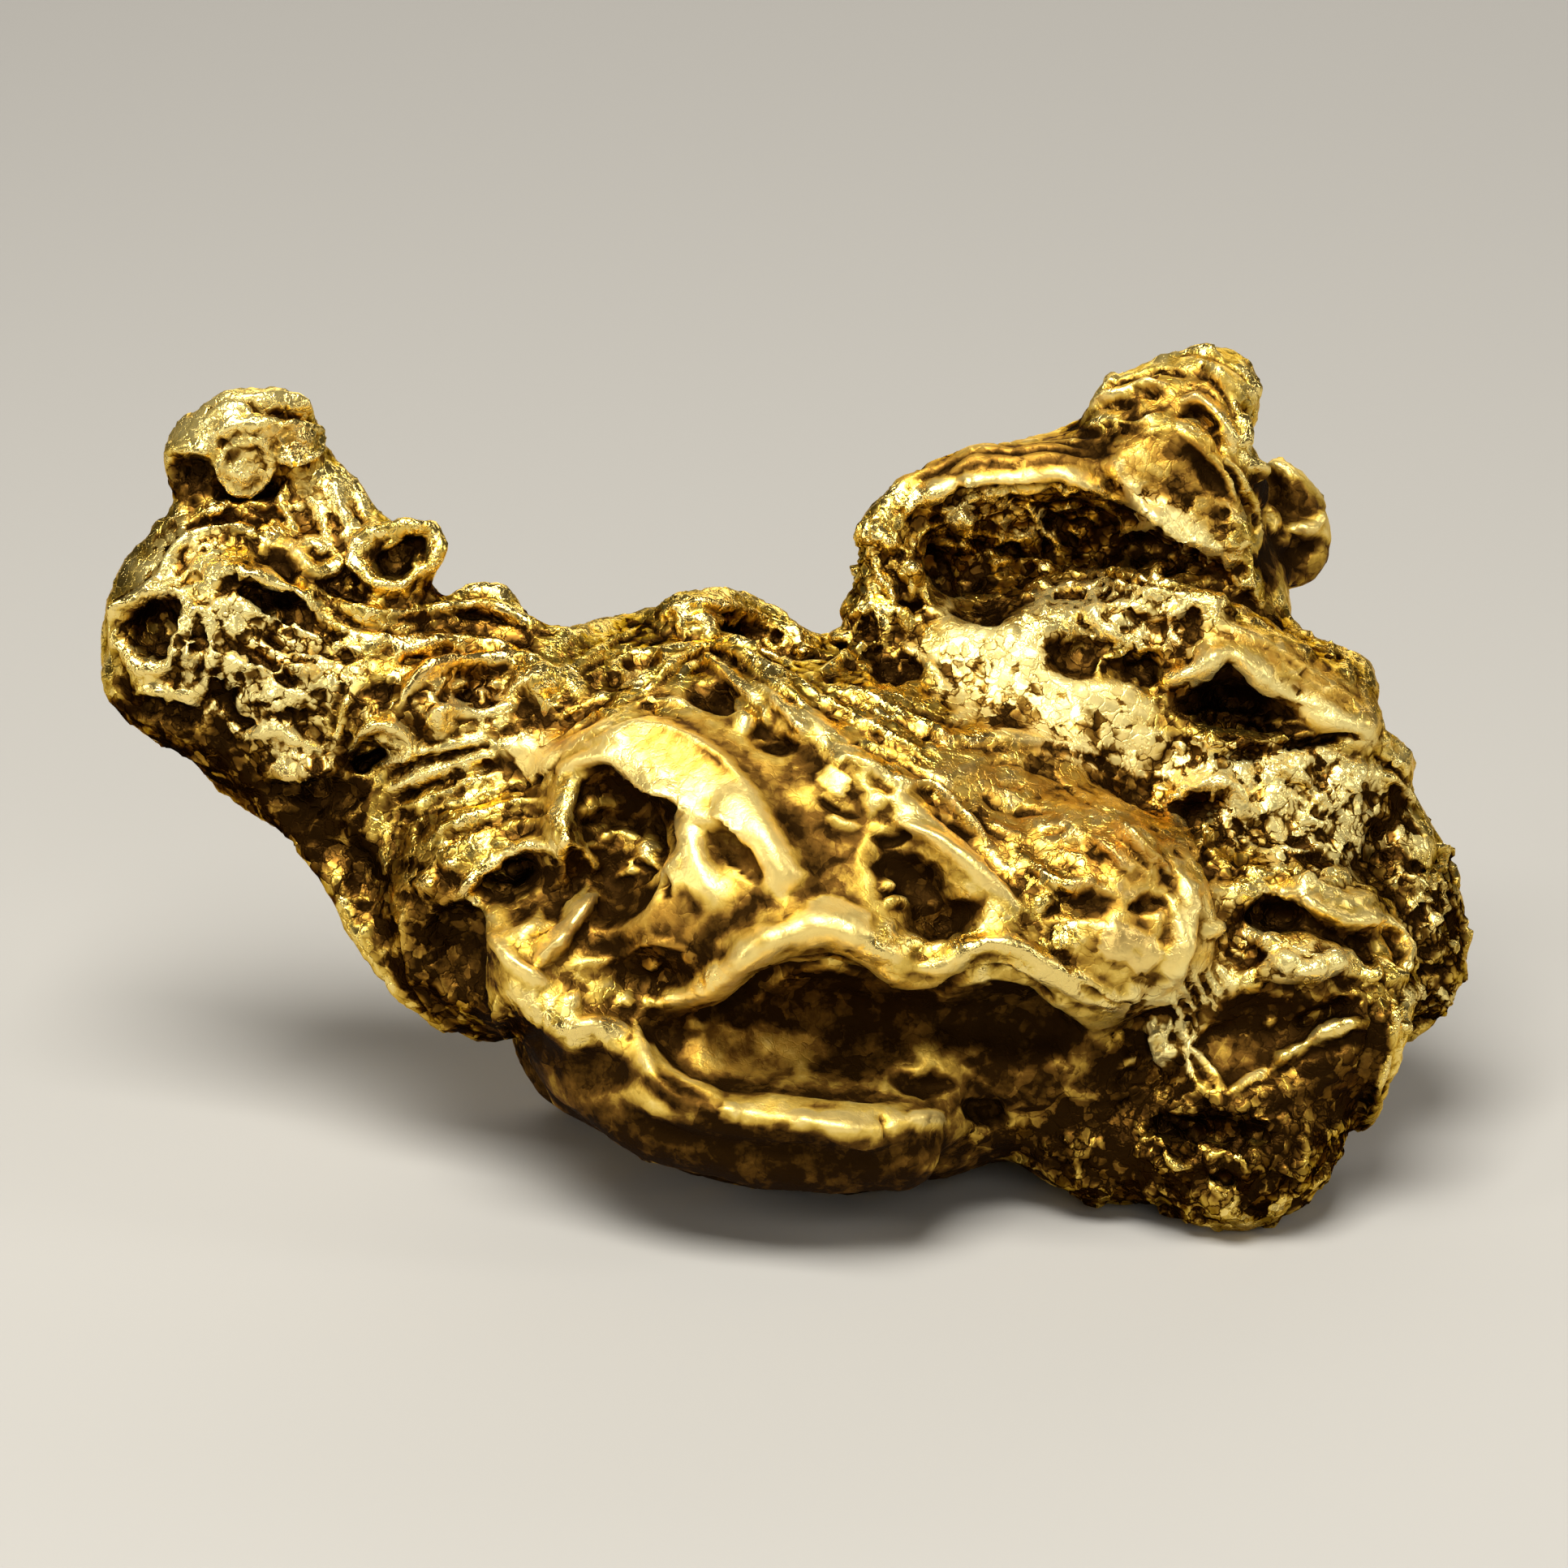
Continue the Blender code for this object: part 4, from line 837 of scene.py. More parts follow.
# whitish gold, partly a painted highlight on faces turned to the light
paleAndHighlightZones = {
    "pale band": (1240, 830, 100, 62, -20, 1.0),
    "brow right": (1450, 652, 80, 22, -38, 1.0),
    "pale band low": (1350, 892, 104, 50, -22, 1.0),
    "band end": (1460, 940, 90, 34, -10, 0.9),
    "lens": (1520, 897, 110, 18, -3, -0.8),
    "band foot": (1600, 990, 150, 74, -20, 1.0),
    "arm face": (310, 815, 120, 85, -20, 1.0),
    "ribs": (1480, 1216, 46, 30, 30, 0.9),
    "arm top": (225, 700, 60, 45, 40, 0.6),
    "cap": (290, 510, 80, 40, 20, 0.5),
    "button": (303, 572, 34, 34, 0, 0.6),
    "neck": (400, 640, 50, 50, 0, 0.4),
    "facets over the hole": (370, 925, 60, 34, -20, 0.7),
    "saddle": (560, 900, 90, 60, 20, 0.5),
    "smooth plate": (650, 930, 40, 30, 20, 0.6),
    "block facets": (1440, 1276, 44, 66, 10, 1.0),
    "block plate": (1610, 1185, 60, 24, 0, 0.9),
    "bits": (1510, 1140, 60, 40, 0, 0.5),
    "lid left": (1474, 832, 46, 14, 30, 0.9),
    "lid right": (1604, 866, 116, 15, -28, 1.0),
    "shelf": (1390, 756, 110, 36, -6, 0.8),
    "cave flecks": (1240, 636, 90, 20, -10, 0.6),
    "far ribs": (1766, 1130, 36, 50, 0, 0.5),
    "far band": (1762, 1226, 36, 14, 0, 0.8),
}
paintedShadeAndLightZones = {  # painted shade, and painted light where the strength is below zero
    "underside of the arm": (270, 980, 220, 70, -38, 1.2),
    "foot of the arm": (400, 990, 60, 45, 0, 1.2),
    "under the cap": (232, 590, 34, 26, 0, 1.2),
    "arm hollow": (348, 692, 46, 16, -20, 0.8),
    "ring knob": (482, 688, 30, 26, 0, 0.8),
    "under the rib": (340, 742, 70, 14, -24, 0.7),
    "oval pit": (192, 775, 32, 42, 0, 0.8),
    "cave": (1340, 670, 190, 50, -4, -0.3),
    "left of the cave": (1180, 710, 60, 50, 0, 0.3),
    "eyelid hollow": (1545, 872, 110, 34, -6, 0.8),
    "shelf pocket": (1330, 812, 46, 28, -10, 0.5),
    "olive pocket": (1396, 826, 32, 16, 0, 0.4),
    "mouth": (1090, 1272, 280, 78, -2, 0.75),
    "horn face": (1440, 566, 90, 44, -24, 0.7),
    "horn face right": (1504, 610, 20, 70, 24, 0.4),
    "horn tip": (1450, 480, 100, 44, 10, 0.45),
    "upper lid": (1606, 812, 116, 26, -34, 0.4),
    "horn roof": (1230, 566, 200, 18, 5, 1.1),
    "round the loop": (1004, 1010, 66, 120, 25, 0.35),
    "above the plate": (886, 914, 90, 18, -38, 0.4),
    "gold in the mouth": (936, 1294, 90, 34, 0, -1.15),
    "pale band": (1290, 860, 150, 60, -25, -0.10),
    "right of the mouth": (1290, 1316, 110, 46, 0, 0.9),
    "ridge right of the mouth": (1256, 1330, 66, 34, 10, 1.5),
    "over the underside": (1450, 1354, 240, 30, 0, 1.0),
    "lip left": (840, 1350, 66, 20, -26, 1.5),
    "between the rolls": (940, 1380, 22, 16, 0, 0.5),
    "between the rolls two": (1088, 1390, 14, 22, 0, 0.6),
    "arm fork": (336, 802, 60, 20, -24, 0.5),
    "saddle": (560, 820, 150, 90, 0, 0.12),
    "hump": (900, 806, 170, 50, -20, 0.16),
    "under the lip": (1086, 1424, 120, 26, 4, 1.4),
    "lens": (1530, 902, 110, 20, -3, 0.9),
    "band end": (1420, 922, 64, 40, -20, -0.35),
    "band low": (1340, 900, 70, 24, -20, -0.25),
    "ribs": (1478, 1216, 44, 30, 30, -0.2),
    "cave flecks": (1240, 636, 90, 20, -10, -0.2),
    "mouth floor": (1010, 1352, 190, 14, -4, 0.9),
    "facet in the recess": (1518, 1300, 56, 46, 0, -0.42),
    "arm face": (310, 815, 110, 80, -20, -0.12),
    "below the lid": (1600, 990, 140, 70, -20, -0.12),
    "under the bar": (1640, 1320, 84, 26, 25, 1.4),
    "right wall of the recess": (1690, 1290, 26, 64, -6, 1.4),
    "rolled end": (1390, 1110, 70, 80, 0, 0.15),
    "belly": (930, 1440, 380, 58, -9, 1.6),
    "chin dimple": (740, 1322, 52, 38, 0, 0.8),
    "jaw": (690, 1362, 140, 74, -35, 1.4),
    "block recess": (1600, 1280, 120, 84, 0, 0.6),
    "rim hollow": (1610, 1138, 96, 24, -12, 0.9),
    "underside": (1430, 1410, 290, 100, 0, 1.05),
    "ragged hole": (1170, 1346, 80, 34, -20, 0.9),
    "left side patch": (550, 1180, 64, 90, 10, 1.2),
    "left foot": (590, 1290, 90, 60, -35, 0.9),
    "under the left rim": (450, 1110, 60, 90, -30, 0.5),
    "large hollow": (760, 1020, 74, 84, -10, 0.1),
    "pits left": (655, 1092, 70, 40, 15, 0.7),
    "slope pit": (1130, 1090, 62, 50, -30, 0.5),
    "slit": (905, 1048, 44, 18, -52, 0.8),
    "far side": (1712, 1060, 30, 66, 0, 0.9),
    "far lump": (1780, 1190, 56, 110, 0, 0.5),
    "knob": (1600, 694, 60, 36, 0, 1.1),
    "knob hole": (1585, 612, 42, 26, -28, 1.8),
    "lobe": (1312, 1074, 46, 8, 0, 0.4),
    "arch pocket": (876, 862, 46, 22, -48, 0.8),
    "under the loop": (836, 1142, 110, 50, 0, 0.9),
    "second pocket": (968, 906, 42, 16, 0, 0.3),
    "pillar foot": (1108, 824, 44, 18, 0, 0.8),
}


# Node trees are laid out left to right as they are written.

class Tree:
    def __init__(self, tree):
        self.tree = tree
        self.column = 0
        self.isShader = tree.bl_idname == "ShaderNodeTree"

    def node(self, kind, inputs=(), **settings):
        node = self.tree.nodes.new(kind)
        node.location = (self.column * 180, -160 * (self.column % 4))
        self.column += 1
        for name, value in settings.items():
            setattr(node, name, value)
        for key, value in dict(inputs).items():
            socket = node.inputs[key]
            if isinstance(value, bpy.types.NodeSocket):
                self.tree.links.new(value, socket)
            else:
                socket.default_value = value
        return node

    def math(self, operation, a, b=0.0, c=0.0, clamp=False):
        inputs = {0: a, 1: b, 2: c}
        return self.node("ShaderNodeMath", inputs, operation=operation, use_clamp=clamp).outputs[0]

    def times(self, a, b, clamp=False):
        return self.math("MULTIPLY", a, b, clamp=clamp)

    def fused(self, a, b, c, clamp=False):
        return self.math("MULTIPLY_ADD", a, b, c, clamp)

    def painted(self, name):
        if self.isShader:
            return self.node("ShaderNodeAttribute", attribute_name=name).outputs["Fac"]
        stored = self.node("GeometryNodeInputNamedAttribute", {"Name": name}, data_type="FLOAT")
        return stored.outputs["Attribute"]

    def vector(self, operation, a, b=(0, 0, 0)):
        node = self.node("ShaderNodeVectorMath", {0: a, 1: b}, operation=operation)
        return node.outputs["Value" if operation in ("DOT_PRODUCT", "LENGTH") else "Vector"]

    def scaled(self, a, factor):
        return self.node("ShaderNodeVectorMath", {0: a, "Scale": factor}, operation="SCALE").outputs["Vector"]

    def ranged(self, value, low, high, start=0.0, end=1.0, kind="SMOOTHSTEP"):
        inputs = {"Value": value, "From Min": low, "From Max": high, "To Min": start, "To Max": end}
        return self.node("ShaderNodeMapRange", inputs, interpolation_type=kind).outputs["Result"]

    def shifted(self, place, seed):
        if not isinstance(seed, bpy.types.NodeSocket):
            return self.vector("ADD", place, (17.3 * seed, 31.7 * seed, 47.1 * seed)) if seed else place
        return self.vector("ADD", place, self.scaled((17.3, 31.7, 47.1), seed))

    def noise(self, place, scale, detail=3.0, roughness=0.55, seed=0.0, distortion=0.0, output=0):
        inputs = {"Vector": self.shifted(place, seed), "Scale": scale, "Detail": detail,
                  "Roughness": roughness, "Distortion": distortion}
        return self.node("ShaderNodeTexNoise", inputs).outputs[output]

    def bent(self, place, scale, amount, detail=2.0, seed=0.0):
        colour = self.noise(place, scale, detail=detail, seed=seed, output="Color")
        offset = self.vector("SUBTRACT", colour, (0.5, 0.5, 0.5))
        return self.vector("ADD", place, self.scaled(offset, amount))

    def facets(self, place, scale, softness=0.0):
        inputs = {"Vector": place, "Scale": scale}
        if softness:
            inputs["Smoothness"] = softness
        kind = "SMOOTH_F1" if softness else "F1"
        cell = self.node("ShaderNodeTexVoronoi", inputs, feature=kind).outputs
        tilt = self.vector("SUBTRACT", cell["Color"], (0.5, 0.5, 0.5))
        return self.vector("DOT_PRODUCT", tilt, self.vector("SUBTRACT", place, cell["Position"]))

    def cells(self, place, scale):
        cell = self.node("ShaderNodeTexVoronoi", {"Vector": place, "Scale": scale}, feature="F1")
        return self.vector("SUBTRACT", cell.outputs["Color"], (0.5, 0.5, 0.5))

    def edges(self, place, scale):
        return self.node("ShaderNodeTexVoronoi", {"Vector": place, "Scale": scale},
                         feature="DISTANCE_TO_EDGE").outputs["Distance"]


# The grain: plates with grooves between them, wrinkles that run along the skin, and soft lumps.

grainSettings = {
    "Plate size": 0.5 * mm,
    "Groove depth": 0.055 * mm,
    "Facet size": 0.6 * mm,
    "Facet tilt": 0.55,
    "Wrinkle size": 0.9 * mm,
    "Wrinkle depth": 0.07 * mm,
    "Lump size": 2.4 * mm,
    "Lump depth": 0.16 * mm,
    "Seed": 3.0,
}


def startGroup(name, sizes):
    group = bpy.data.node_groups.new(name, "GeometryNodeTree")
    sockets = [("Geometry", "Geometry"), *((size, "Float") for size in sizes), ("Material", "Material")]
    for socket, kind in sockets:
        group.interface.new_socket(socket, in_out="INPUT", socket_type=f"NodeSocket{kind}")
    group.interface.new_socket("Geometry", in_out="OUTPUT", socket_type="NodeSocketGeometry")
    tree = Tree(group)
    given = tree.node("NodeGroupInput").outputs
    place = tree.node("GeometryNodeInputPosition").outputs[0]
    normal = tree.node("GeometryNodeInputNormal").outputs[0]
    return tree, given, place, normal


def endGroup(tree, geometry, given, name, value):
    stored = tree.node("GeometryNodeStoreNamedAttribute",
                       {"Geometry": geometry, "Name": name, "Value": value}, data_type="FLOAT")
    real = tree.node("GeometryNodeRealizeInstances", {"Geometry": stored.outputs[0]})
    finished = tree.node("GeometryNodeSetMaterial",
                         {"Geometry": real.outputs[0], "Material": given["Material"]})
    tree.node("NodeGroupOutput", {"Geometry": finished.outputs[0]})
    return tree.tree


def grainTree():
    tree, given, place, normal = startGroup("gold grain", grainSettings)
    grain, smooth = tree.painted("grain"), tree.painted("smooth")
    perMm = tree.shifted(tree.scaled(place, 1 / mm), given["Seed"])
    bent = tree.bent(perMm, 0.9, 0.8)

    plateScale = tree.math("DIVIDE", mm, given["Plate size"])
    edge = tree.edges(bent, plateScale)
    groove = tree.ranged(edge, 0.0, 0.16, 1.0, 0.0)
    plateAmount = tree.fused(grain, 0.75, 0.25)
    broken = tree.ranged(tree.noise(perMm, 0.7), 0.38, 0.62)
    crack = tree.times(tree.times(groove, plateAmount), broken)
    plates = tree.times(tree.times(crack, given["Groove depth"]), -1.0)

    wrinkleScale = tree.math("DIVIDE", mm, given["Wrinkle size"])
    wave = tree.noise(bent, wrinkleScale, detail=3.0, roughness=0.5, distortion=0.6)
    fold = tree.math("ABSOLUTE", tree.fused(wave, 2.0, -1.0))
    ridged = tree.math("SUBTRACT", 0.35, tree.math("MINIMUM", tree.times(fold, 2.2), 1.0))
    wrinkles = tree.times(ridged, given["Wrinkle depth"])

    lumpScale = tree.math("DIVIDE", mm, given["Lump size"])
    swell = tree.math("SUBTRACT", tree.noise(perMm, lumpScale, detail=1.0), 0.5)
    lumps = tree.times(swell, given["Lump depth"])

    facetScale = tree.math("DIVIDE", mm, given["Facet size"])
    facets = tree.facets(tree.bent(perMm, 1.8, 0.7, detail=3.0), facetScale, softness=0.2)
    facets = tree.times(facets, given["Facet tilt"])
    facets = tree.times(tree.times(facets, tree.fused(grain, 0.6, 0.4)), mm)
    fine = tree.times(tree.math("ADD", plates, facets), tree.fused(smooth, -0.82, 1.0))
    folded = tree.times(wrinkles, tree.fused(smooth, -0.55, 1.0))
    height = tree.math("ADD", tree.math("ADD", fine, folded), lumps)
    moved = tree.node("GeometryNodeSetPosition",
                      {"Geometry": given["Geometry"], "Offset": tree.scaled(normal, height)})
    return endGroup(tree, moved.outputs[0], given, "crack", crack)


def useTree(obj, group, values):
    modifier = obj.modifiers.new(group.name, "NODES")
    modifier.node_group = group
    for item in group.interface.items_tree:
        if item.in_out == "INPUT" and item.name in values:
            modifier[item.identifier] = values[item.name]
    applyModifiers(obj)


# How open each point is to the sky round it, by rays thrown to all sides.

opennessSettings = {"rays": 26, "length": 4.0 * mm, "lift": 0.06 * mm}


def opennessTree():
    tree, given, place, normal = startGroup("openness", ("Ray length", "Lift"))
    start = tree.vector("ADD", place, tree.scaled(normal, given["Lift"]))
    total, openSum = 0.0, 0.0
    for i in range(opennessSettings["rays"]):
        up = 1 - (2 * i + 1) / opennessSettings["rays"]
        turn = i * math.pi * (3 - math.sqrt(5))
        flat = math.sqrt(1 - up * up)
        aim = (flat * math.cos(turn), flat * math.sin(turn), up)
        weight = tree.math("MAXIMUM", tree.vector("DOT_PRODUCT", normal, aim), 0.0)
        cast = {"Target Geometry": given["Geometry"], "Source Position": start, "Ray Direction": aim,
                "Ray Length": given["Ray length"]}
        ray = tree.node("GeometryNodeRaycast", cast).outputs
        reached = tree.math("DIVIDE", ray["Hit Distance"], given["Ray length"])
        choice = {"Switch": ray["Is Hit"], "False": 1.0, "True": reached}
        clear = tree.node("GeometryNodeSwitch", choice, input_type="FLOAT").outputs[0]
        total = tree.math("ADD", total, weight)
        openSum = tree.fused(weight, clear, openSum)
    openness = tree.math("DIVIDE", openSum, total)
    return endGroup(tree, given["Geometry"], given, "openness", openness)


def averaged(mesh, values, rounds):
    ends = np.empty(len(mesh.edges) * 2, np.int32)
    mesh.edges.foreach_get("vertices", ends)
    a, b = ends.reshape(-1, 2).T
    count = len(mesh.vertices)
    degree = np.bincount(a, minlength=count) + np.bincount(b, minlength=count)
    values = values.reshape(count, -1).copy()
    for _ in range(rounds):
        for k in range(values.shape[1]):
            column = values[:, k]
            total = np.bincount(a, column[b], count) + np.bincount(b, column[a], count)
            values[:, k] = 0.5 * column + 0.5 * total / np.maximum(degree, 1)
    return values


def swellOf(mesh, rounds, size):
    places = positionsOf(mesh)
    return np.einsum("ij,ij->i", places - averaged(mesh, places, rounds), normalsOf(mesh)) / size


# The gold: deep brown in the hollows from painted shade, ochre, then pale bright crests from painted
# highlight; stained slopes and a whitish band that is partly painted highlight.

goldSettings = {
    "deep": (0.025, 0.011, 0.002),
    "shade": (0.17, 0.080, 0.012),
    "body": (0.56, 0.35, 0.050),
    "bright": (0.87, 0.62, 0.13),
    "crest": (1.0, 0.77, 0.26),
    "stain": (0.50, 0.22, 0.030),
    "pale": (1.0, 0.84, 0.34),
    "glancing": (0.96, 0.74, 0.34),
    "roughness": (0.46, 0.22),  # hollows, crests
    "crackleSize": 0.24 * mm,
    "facetSize": 0.6 * mm,
    "patchiness": 0.55,
    "smallTilt": 0.55,
    "largeTilt": 0.45,
    "crackle": 0.30,
    "facets": 1.6,
    "tooth": 0.20,
    "relief": (0.55, 0.06 * mm),  # strength, depth
    "wearAndHighlightTone": 0.26,
    "mottleTone": 0.55,
    "fleckTone": 0.25,
    "stained": 0.75,
    "paled": 0.85,
    "calmWhereWorked": -0.76,
    "calmWhereWorn": -0.45,
    "waxy": (-0.25, -0.35),  # how far worked gold and the pale band are from bare metal
}


def goldMaterial():
    material = bpy.data.materials.new("nativeGold")
    material.use_nodes = True
    tree = Tree(material.node_tree)
    material.node_tree.nodes.clear()
    gold = goldSettings

    def mixed(factor, a, b):
        return tree.node("ShaderNodeMix", {0: factor, 6: a, 7: b}, data_type="RGBA").outputs[2]

    # small plates with lines between them, and larger ones under them
    place = tree.scaled(tree.node("ShaderNodeTexCoord").outputs["Object"], 1 / mm)
    bent = tree.bent(place, 3.4, 0.45, detail=3.0)
    crackle = tree.edges(bent, mm / gold["crackleSize"])
    cell = tree.ranged(crackle, 0.0, 0.14, 1.0, 0.0)
    facets = tree.facets(bent, mm / gold["crackleSize"] * 0.8)
    small = tree.cells(bent, mm / gold["crackleSize"])
    large = tree.cells(tree.bent(place, 1.6, 0.8, seed=6.0), mm / gold["facetSize"])

    # what the skin's attributes say, and how far they calm the plates
    grain, smooth, wearAndHighlight = tree.painted("grain"), tree.painted("smooth"), tree.painted("polishAndHighlight")
    pale = tree.painted("pale")
    worked = tree.times(smooth, tree.math("SUBTRACT", 1.0, pale, clamp=True), clamp=True)
    calm = tree.times(tree.fused(worked, gold["calmWhereWorked"], 1.0),
                      tree.fused(wearAndHighlight, gold["calmWhereWorn"], 1.0))

    # the tone, with its painted shade and highlights from hollows to crests, broken up by mottling, flecks,
    # plates and lines
    # painted highlight where the gold is starred as worn
    tone = tree.fused(wearAndHighlight, gold["wearAndHighlightTone"], tree.painted("tone"))
    mottle = tree.noise(place, 1.6, detail=5.0, roughness=0.62, seed=4.0)
    fleck = tree.noise(place, 7.0, detail=2.0, seed=9.0)
    lineAmount = tree.fused(grain, 0.42, 0.14)
    lines = tree.times(tree.times(cell, lineAmount), tree.ranged(mottle, 0.35, 0.6, 0.25, 1.0))
    lines = tree.times(lines, calm)
    toned = tree.fused(tree.math("SUBTRACT", mottle, 0.5), gold["mottleTone"], tone)
    toned = tree.fused(tree.math("SUBTRACT", fleck, 0.5), gold["fleckTone"], toned)
    patchy = tree.vector("DOT_PRODUCT", tree.vector("ADD", small, large), (0.5, 0.5, 0.5))
    patchy = tree.times(patchy, tree.times(calm, gold["patchiness"]))
    toned = tree.math("ADD", toned, patchy)
    toned = tree.math("SUBTRACT", toned, lines, clamp=True)

    # the colour of each tone, then stain and the whitish band, which is partly painted highlight
    ramp = tree.node("ShaderNodeValToRGB", {"Fac": toned})
    steps = ((0.0, "deep"), (0.25, "shade"), (0.5, "body"), (0.75, "bright"), (1.0, "crest"))
    for i, (at, name) in enumerate(steps):
        element = ramp.color_ramp.elements[i] if i < 2 else ramp.color_ramp.elements.new(at)
        element.position = at
        element.color = (*gold[name], 1)
    colour = ramp.outputs["Color"]
    stain = tree.times(tree.painted("stain"), tree.ranged(mottle, 0.3, 0.65, 1.0, 0.35))
    stain = tree.times(stain, tree.ranged(toned, 0.15, 0.5))
    colour = mixed(tree.times(stain, gold["stained"]), colour, (*gold["stain"], 1))
    paleAndHighlightAmount = tree.times(pale, tree.ranged(toned, 0.30, 0.6))
    colour = mixed(tree.times(paleAndHighlightAmount, gold["paled"]), colour, (*gold["pale"], 1))
    rough = tree.ranged(toned, 0.1, 0.9, *gold["roughness"], kind="LINEAR")
    rough = tree.fused(tree.math("SUBTRACT", fleck, 0.5), 0.22, rough)
    rough = tree.fused(smooth, 0.22, rough, clamp=True)

    # fine relief, and plates that each lean their own way
    tooth = tree.noise(place, 9.0, detail=4.0, roughness=0.6, seed=2.0)
    relief = tree.fused(cell, -gold["crackle"], tree.times(tooth, gold["tooth"]))
    relief = tree.fused(facets, gold["facets"], relief)
    relief = tree.times(relief, calm)
    relief = tree.fused(mottle, 0.9, relief)
    slant = tree.vector("ADD", tree.scaled(small, gold["smallTilt"]), tree.scaled(large, gold["largeTilt"]))
    slant = tree.scaled(slant, tree.times(calm, tree.fused(grain, 0.6, 0.4)))
    normal = tree.vector("ADD", tree.node("ShaderNodeNewGeometry").outputs["Normal"], slant)
    normal = tree.vector("NORMALIZE", normal)
    strength, depth = gold["relief"]
    bump = tree.node("ShaderNodeBump",
                     {"Strength": strength, "Distance": depth, "Height": relief, "Normal": normal})
    metallic = tree.fused(worked, gold["waxy"][0], tree.fused(paleAndHighlightAmount, gold["waxy"][1], 1.0))
    # the edge tint follows the tone, so the painted shade dims the reflections too
    glancing = mixed(tree.ranged(toned, 0.05, 0.5), (*gold["deep"], 1), (*gold["glancing"], 1))
    shader = tree.node("ShaderNodeBsdfPrincipled",
                       {"Base Color": colour, "Metallic": metallic, "Roughness": rough,
                        "Normal": bump.outputs[0], "Specular Tint": glancing})
    tree.node("ShaderNodeOutputMaterial", {"Surface": shader.outputs[0]})
    return material


def plainMaterial(name, colour, roughness):
    material = bpy.data.materials.new(name)
    material.use_nodes = True
    shader = material.node_tree.nodes["Principled BSDF"]
    shader.inputs["Base Color"].default_value = (*colour, 1)
    shader.inputs["Roughness"].default_value = roughness
    return material


# How light the gold is at each point: painted highlight on swells and on faces turned up, painted shade in
# dips and sheltered hollows (partly also oxide), darker cracks, and the painted shade and light of the zones.

toneSettings = {
    "middle": 0.57,
    # painted highlight on swells, painted shade in dips
    "swell": 0.18,
    "fineSwell": (6, 0.02 * mm),  # averaging rounds, and the size of a full swell
    "broadSwell": (60, 0.08 * mm),
    # painted shade where the skin is sheltered, standing partly for oxide in the hollows
    "shelter": 0.50,
    "open": 0.75,  # the openness from which nothing is sheltered
    "crack": 0.42,
    # painted light on faces turned up
    "upward": 0.14,
    # how far the painted shade and light of the zones moves the tone
    "shade": 0.60,
}


def facingOf(normals):
    return smoothly((normals @ -faceY) * 4 + 0.9)  # 1 on the side that the camera sees


def dressSkin():
    mesh = skin.data
    setPositions(mesh, basePlaces + shifts)
    facing = facingOf(normalsOf(mesh))
    places = positionsOf(mesh)
    for name, zones in (("grain", grainZones), ("smooth", smoothZones)):
        away = 0.6 * (1 - facing) if name == "grain" else 0  # the back has an even, rougher grain
        setAttribute(mesh, name, zoneOf(places, facing, zones) + away)
    setAttribute(mesh, "polishAndHighlight", polishAndHighlight)
    gold = goldMaterial()
    mesh.materials.clear()
    mesh.materials.append(gold)
    useTree(skin, grainTree(), {**grainSettings, "Material": gold})
    report("grain")
    places = positionsOf(skin.data)
    places[:, 2] = np.maximum(places[:, 2], 0)
    setPositions(skin.data, places)
    thin = skin.modifiers.new("thin", "DECIMATE")
    skin.data.calc_loop_triangles()
    thin.ratio = skinSettings["mostTriangles"] / len(skin.data.loop_triangles)
    thin.use_collapse_triangulate = True
    applyModifiers(skin)
    report(f"thinned to {len(skin.data.polygons)} triangles")
    useTree(skin, opennessTree(), {"Ray length": opennessSettings["length"], "Lift": opennessSettings["lift"],
                                   "Material": gold})
    mesh = skin.data
    places, normals = positionsOf(mesh), normalsOf(mesh)
    facing = facingOf(normals)
    openness = attributeOf(mesh, "openness")
    fineSwell, broadSwell = (swellOf(mesh, *toneSettings[name]) for name in ("fineSwell", "broadSwell"))
    # the tone, with its painted highlights and painted shade
    tone = (toneSettings["middle"]
            + toneSettings["swell"] * np.clip(fineSwell, -1.5, 1.5)
            + toneSettings["swell"] * np.clip(broadSwell, -1.5, 1.5)
            - toneSettings["shelter"] * np.clip(toneSettings["open"] - openness, 0, 1)
            - toneSettings["crack"] * attributeOf(mesh, "crack")
            + toneSettings["upward"] * (normals @ faceZ)
            - toneSettings["shade"] * zoneOf(places, facing, paintedShadeAndLightZones))
    setAttribute(mesh, "tone", np.clip(tone, 0, 1))
    setAttribute(mesh, "stain", zoneOf(places, facing, stainZones))
    setAttribute(mesh, "pale", zoneOf(places, facing, paleAndHighlightZones))
    mesh.shade_smooth()
    report("tones")


dressSkin()


# The studio: a pale floor that bends up behind, soft boxes round it, and the camera.

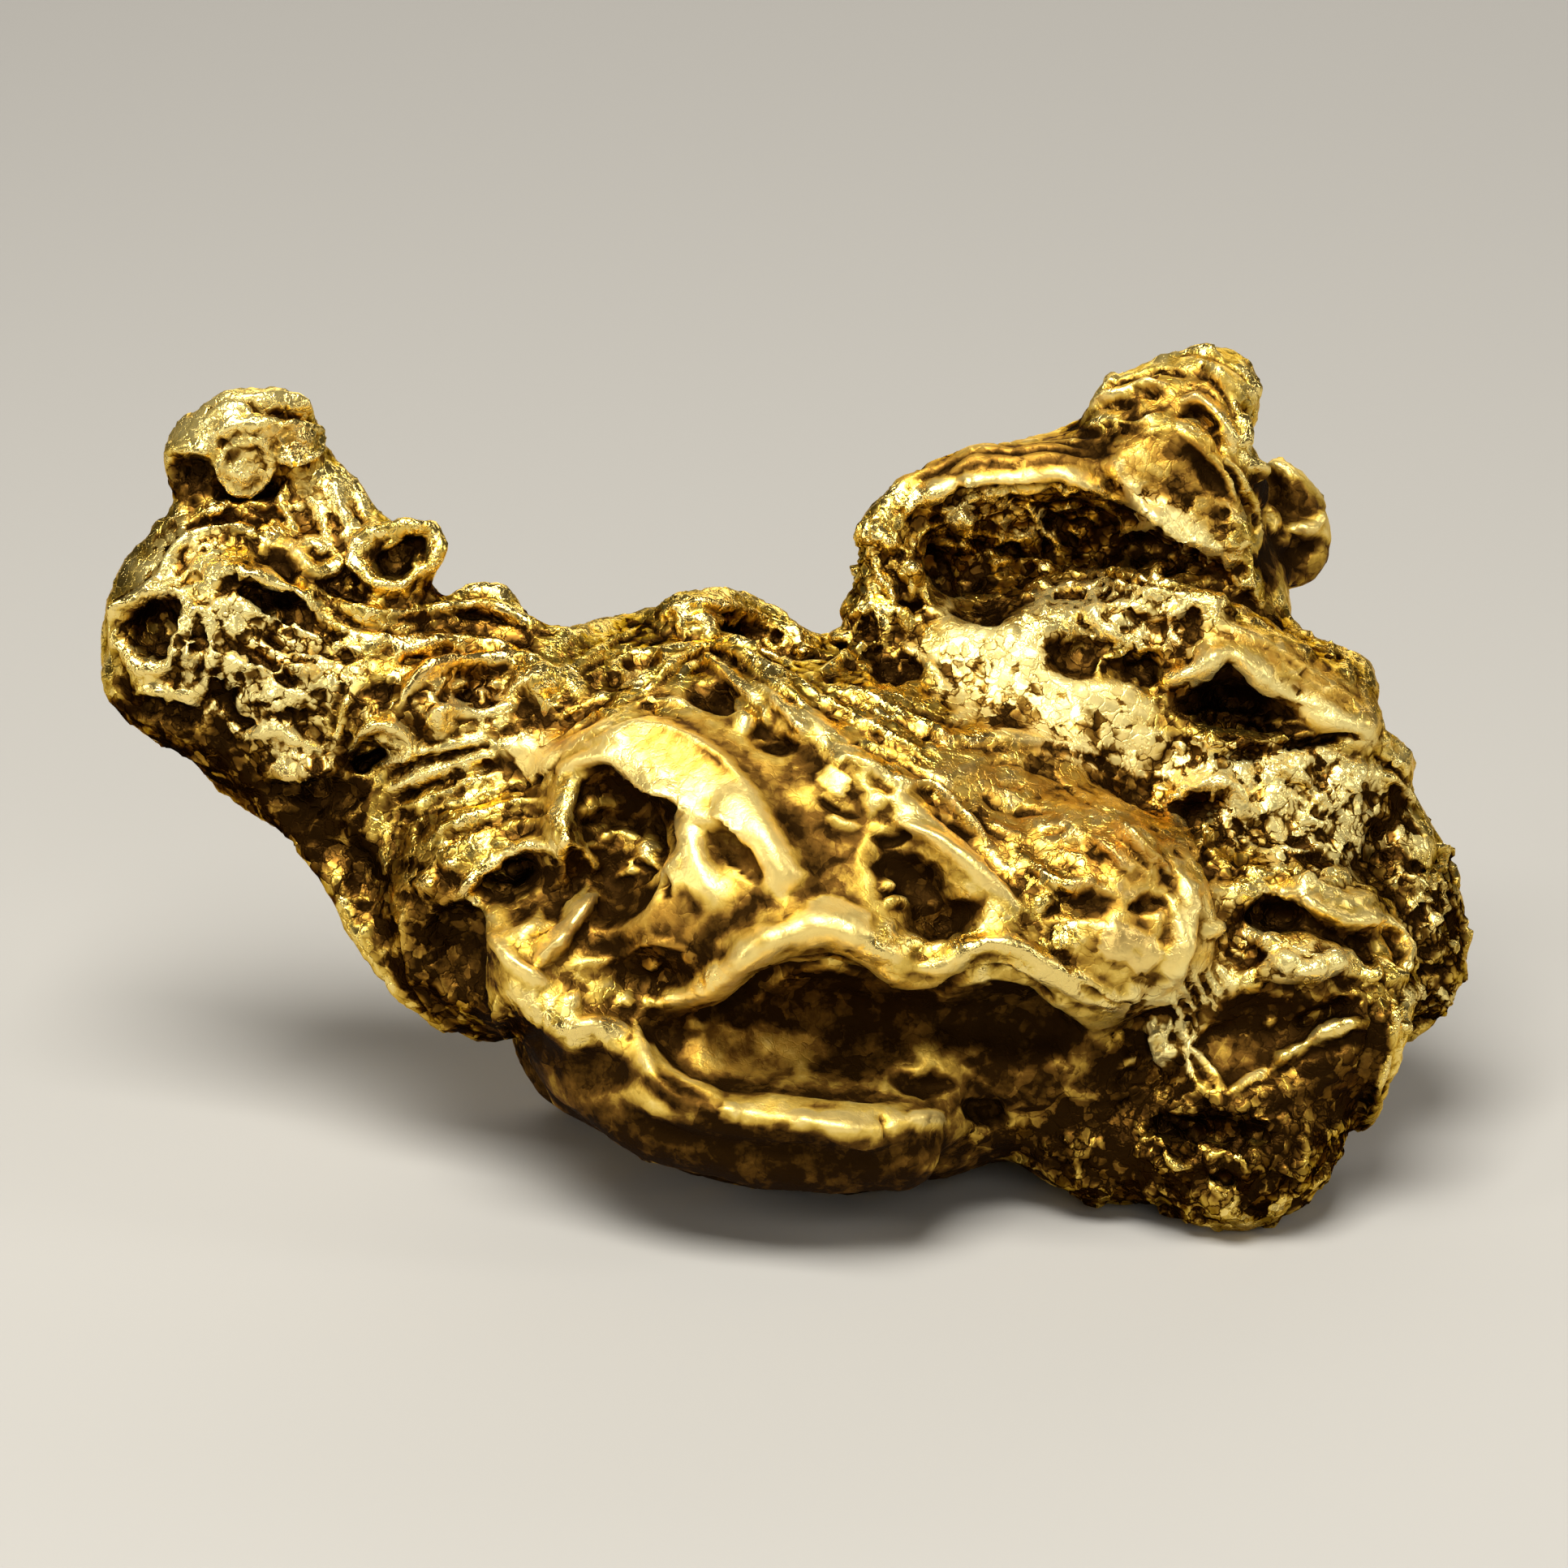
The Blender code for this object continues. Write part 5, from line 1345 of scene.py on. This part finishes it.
studio = {
    "floorColour": (0.46, 0.45, 0.43),
    "floorHalf": 1.2,
    "backdropAt": 0.35,
    "bendRadius": 0.15,
    "backdropRise": 0.25,
    "aim": (0, 0, 6),  # where the boxes point, in mm
    "world": (0.050, 0.040, 0.024),
    "boxes": {  # place and size in mm, watts, colour
        "overhead": ((-20, -60, 150), (100, 80), 0.38, (1.0, 0.97, 0.90)),
        "front": ((30, -170, 90), (120, 60), 0.06, (1.0, 0.97, 0.91)),
        "leftStrip": ((-140, -60, 50), (24, 90), 0.05, (1.0, 0.95, 0.88)),
        "rightStrip": ((150, -20, 70), (24, 90), 0.045, (1.0, 0.97, 0.93)),
        "backRim": ((20, 150, 80), (200, 60), 0.09, (1.0, 0.96, 0.9)),
    },
}


def makeFloor():
    half, at, radius = studio["floorHalf"], studio["backdropAt"], studio["bendRadius"]
    profile = [(-half, 0.0), (at, 0.0)]
    for a in np.linspace(0.1, math.pi / 2, 12):
        profile.append((at + radius * math.sin(a), radius - radius * math.cos(a)))
    profile.append((at + radius, radius + studio["backdropRise"]))
    mesh = bpy.data.meshes.new("floor")
    points = [(x, y, z) for y, z in profile for x in (-half, half)]
    faces = [(2 * i, 2 * i + 1, 2 * i + 3, 2 * i + 2) for i in range(len(profile) - 1)]
    mesh.from_pydata(points, [], faces)
    mesh.materials.append(plainMaterial("palePaper", studio["floorColour"], 0.75))
    mesh.shade_smooth()
    linked(bpy.data.objects.new("floor", mesh))


def lightStudio():
    world = bpy.data.worlds.new("dimRoom")
    world.use_nodes = True
    world.node_tree.nodes["Background"].inputs["Color"].default_value = (*studio["world"], 1)
    bpy.context.scene.world = world
    for name, (place, size, watts, colour) in studio["boxes"].items():
        light = bpy.data.lights.new(name, "AREA")
        light.shape = "RECTANGLE"
        light.size, light.size_y = size[0] * mm, size[1] * mm
        light.energy = watts
        light.color = colour
        lamp = linked(bpy.data.objects.new(name, light))
        lamp.location = Vector(place) * mm
        aim = Vector(studio["aim"]) * mm - lamp.location
        lamp.rotation_euler = aim.to_track_quat("-Z", "Y").to_euler()


def placeCamera():
    camera = bpy.data.cameras.new("camera")
    camera.lens, camera.sensor_width, camera.clip_start = view["lens"], view["sensor"], view["nearest"]
    holder = linked(bpy.data.objects.new("camera", camera))
    holder.location = eye
    holder.rotation_euler = (math.pi / 2 - view["lean"], 0, 0)
    bpy.context.scene.camera = holder


makeFloor()
lightStudio()
placeCamera()
bpy.context.scene.view_settings.view_transform = "Standard"
report("studio")

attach(skin, "root")
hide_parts("nugget")

bpy.context.view_layer.update()
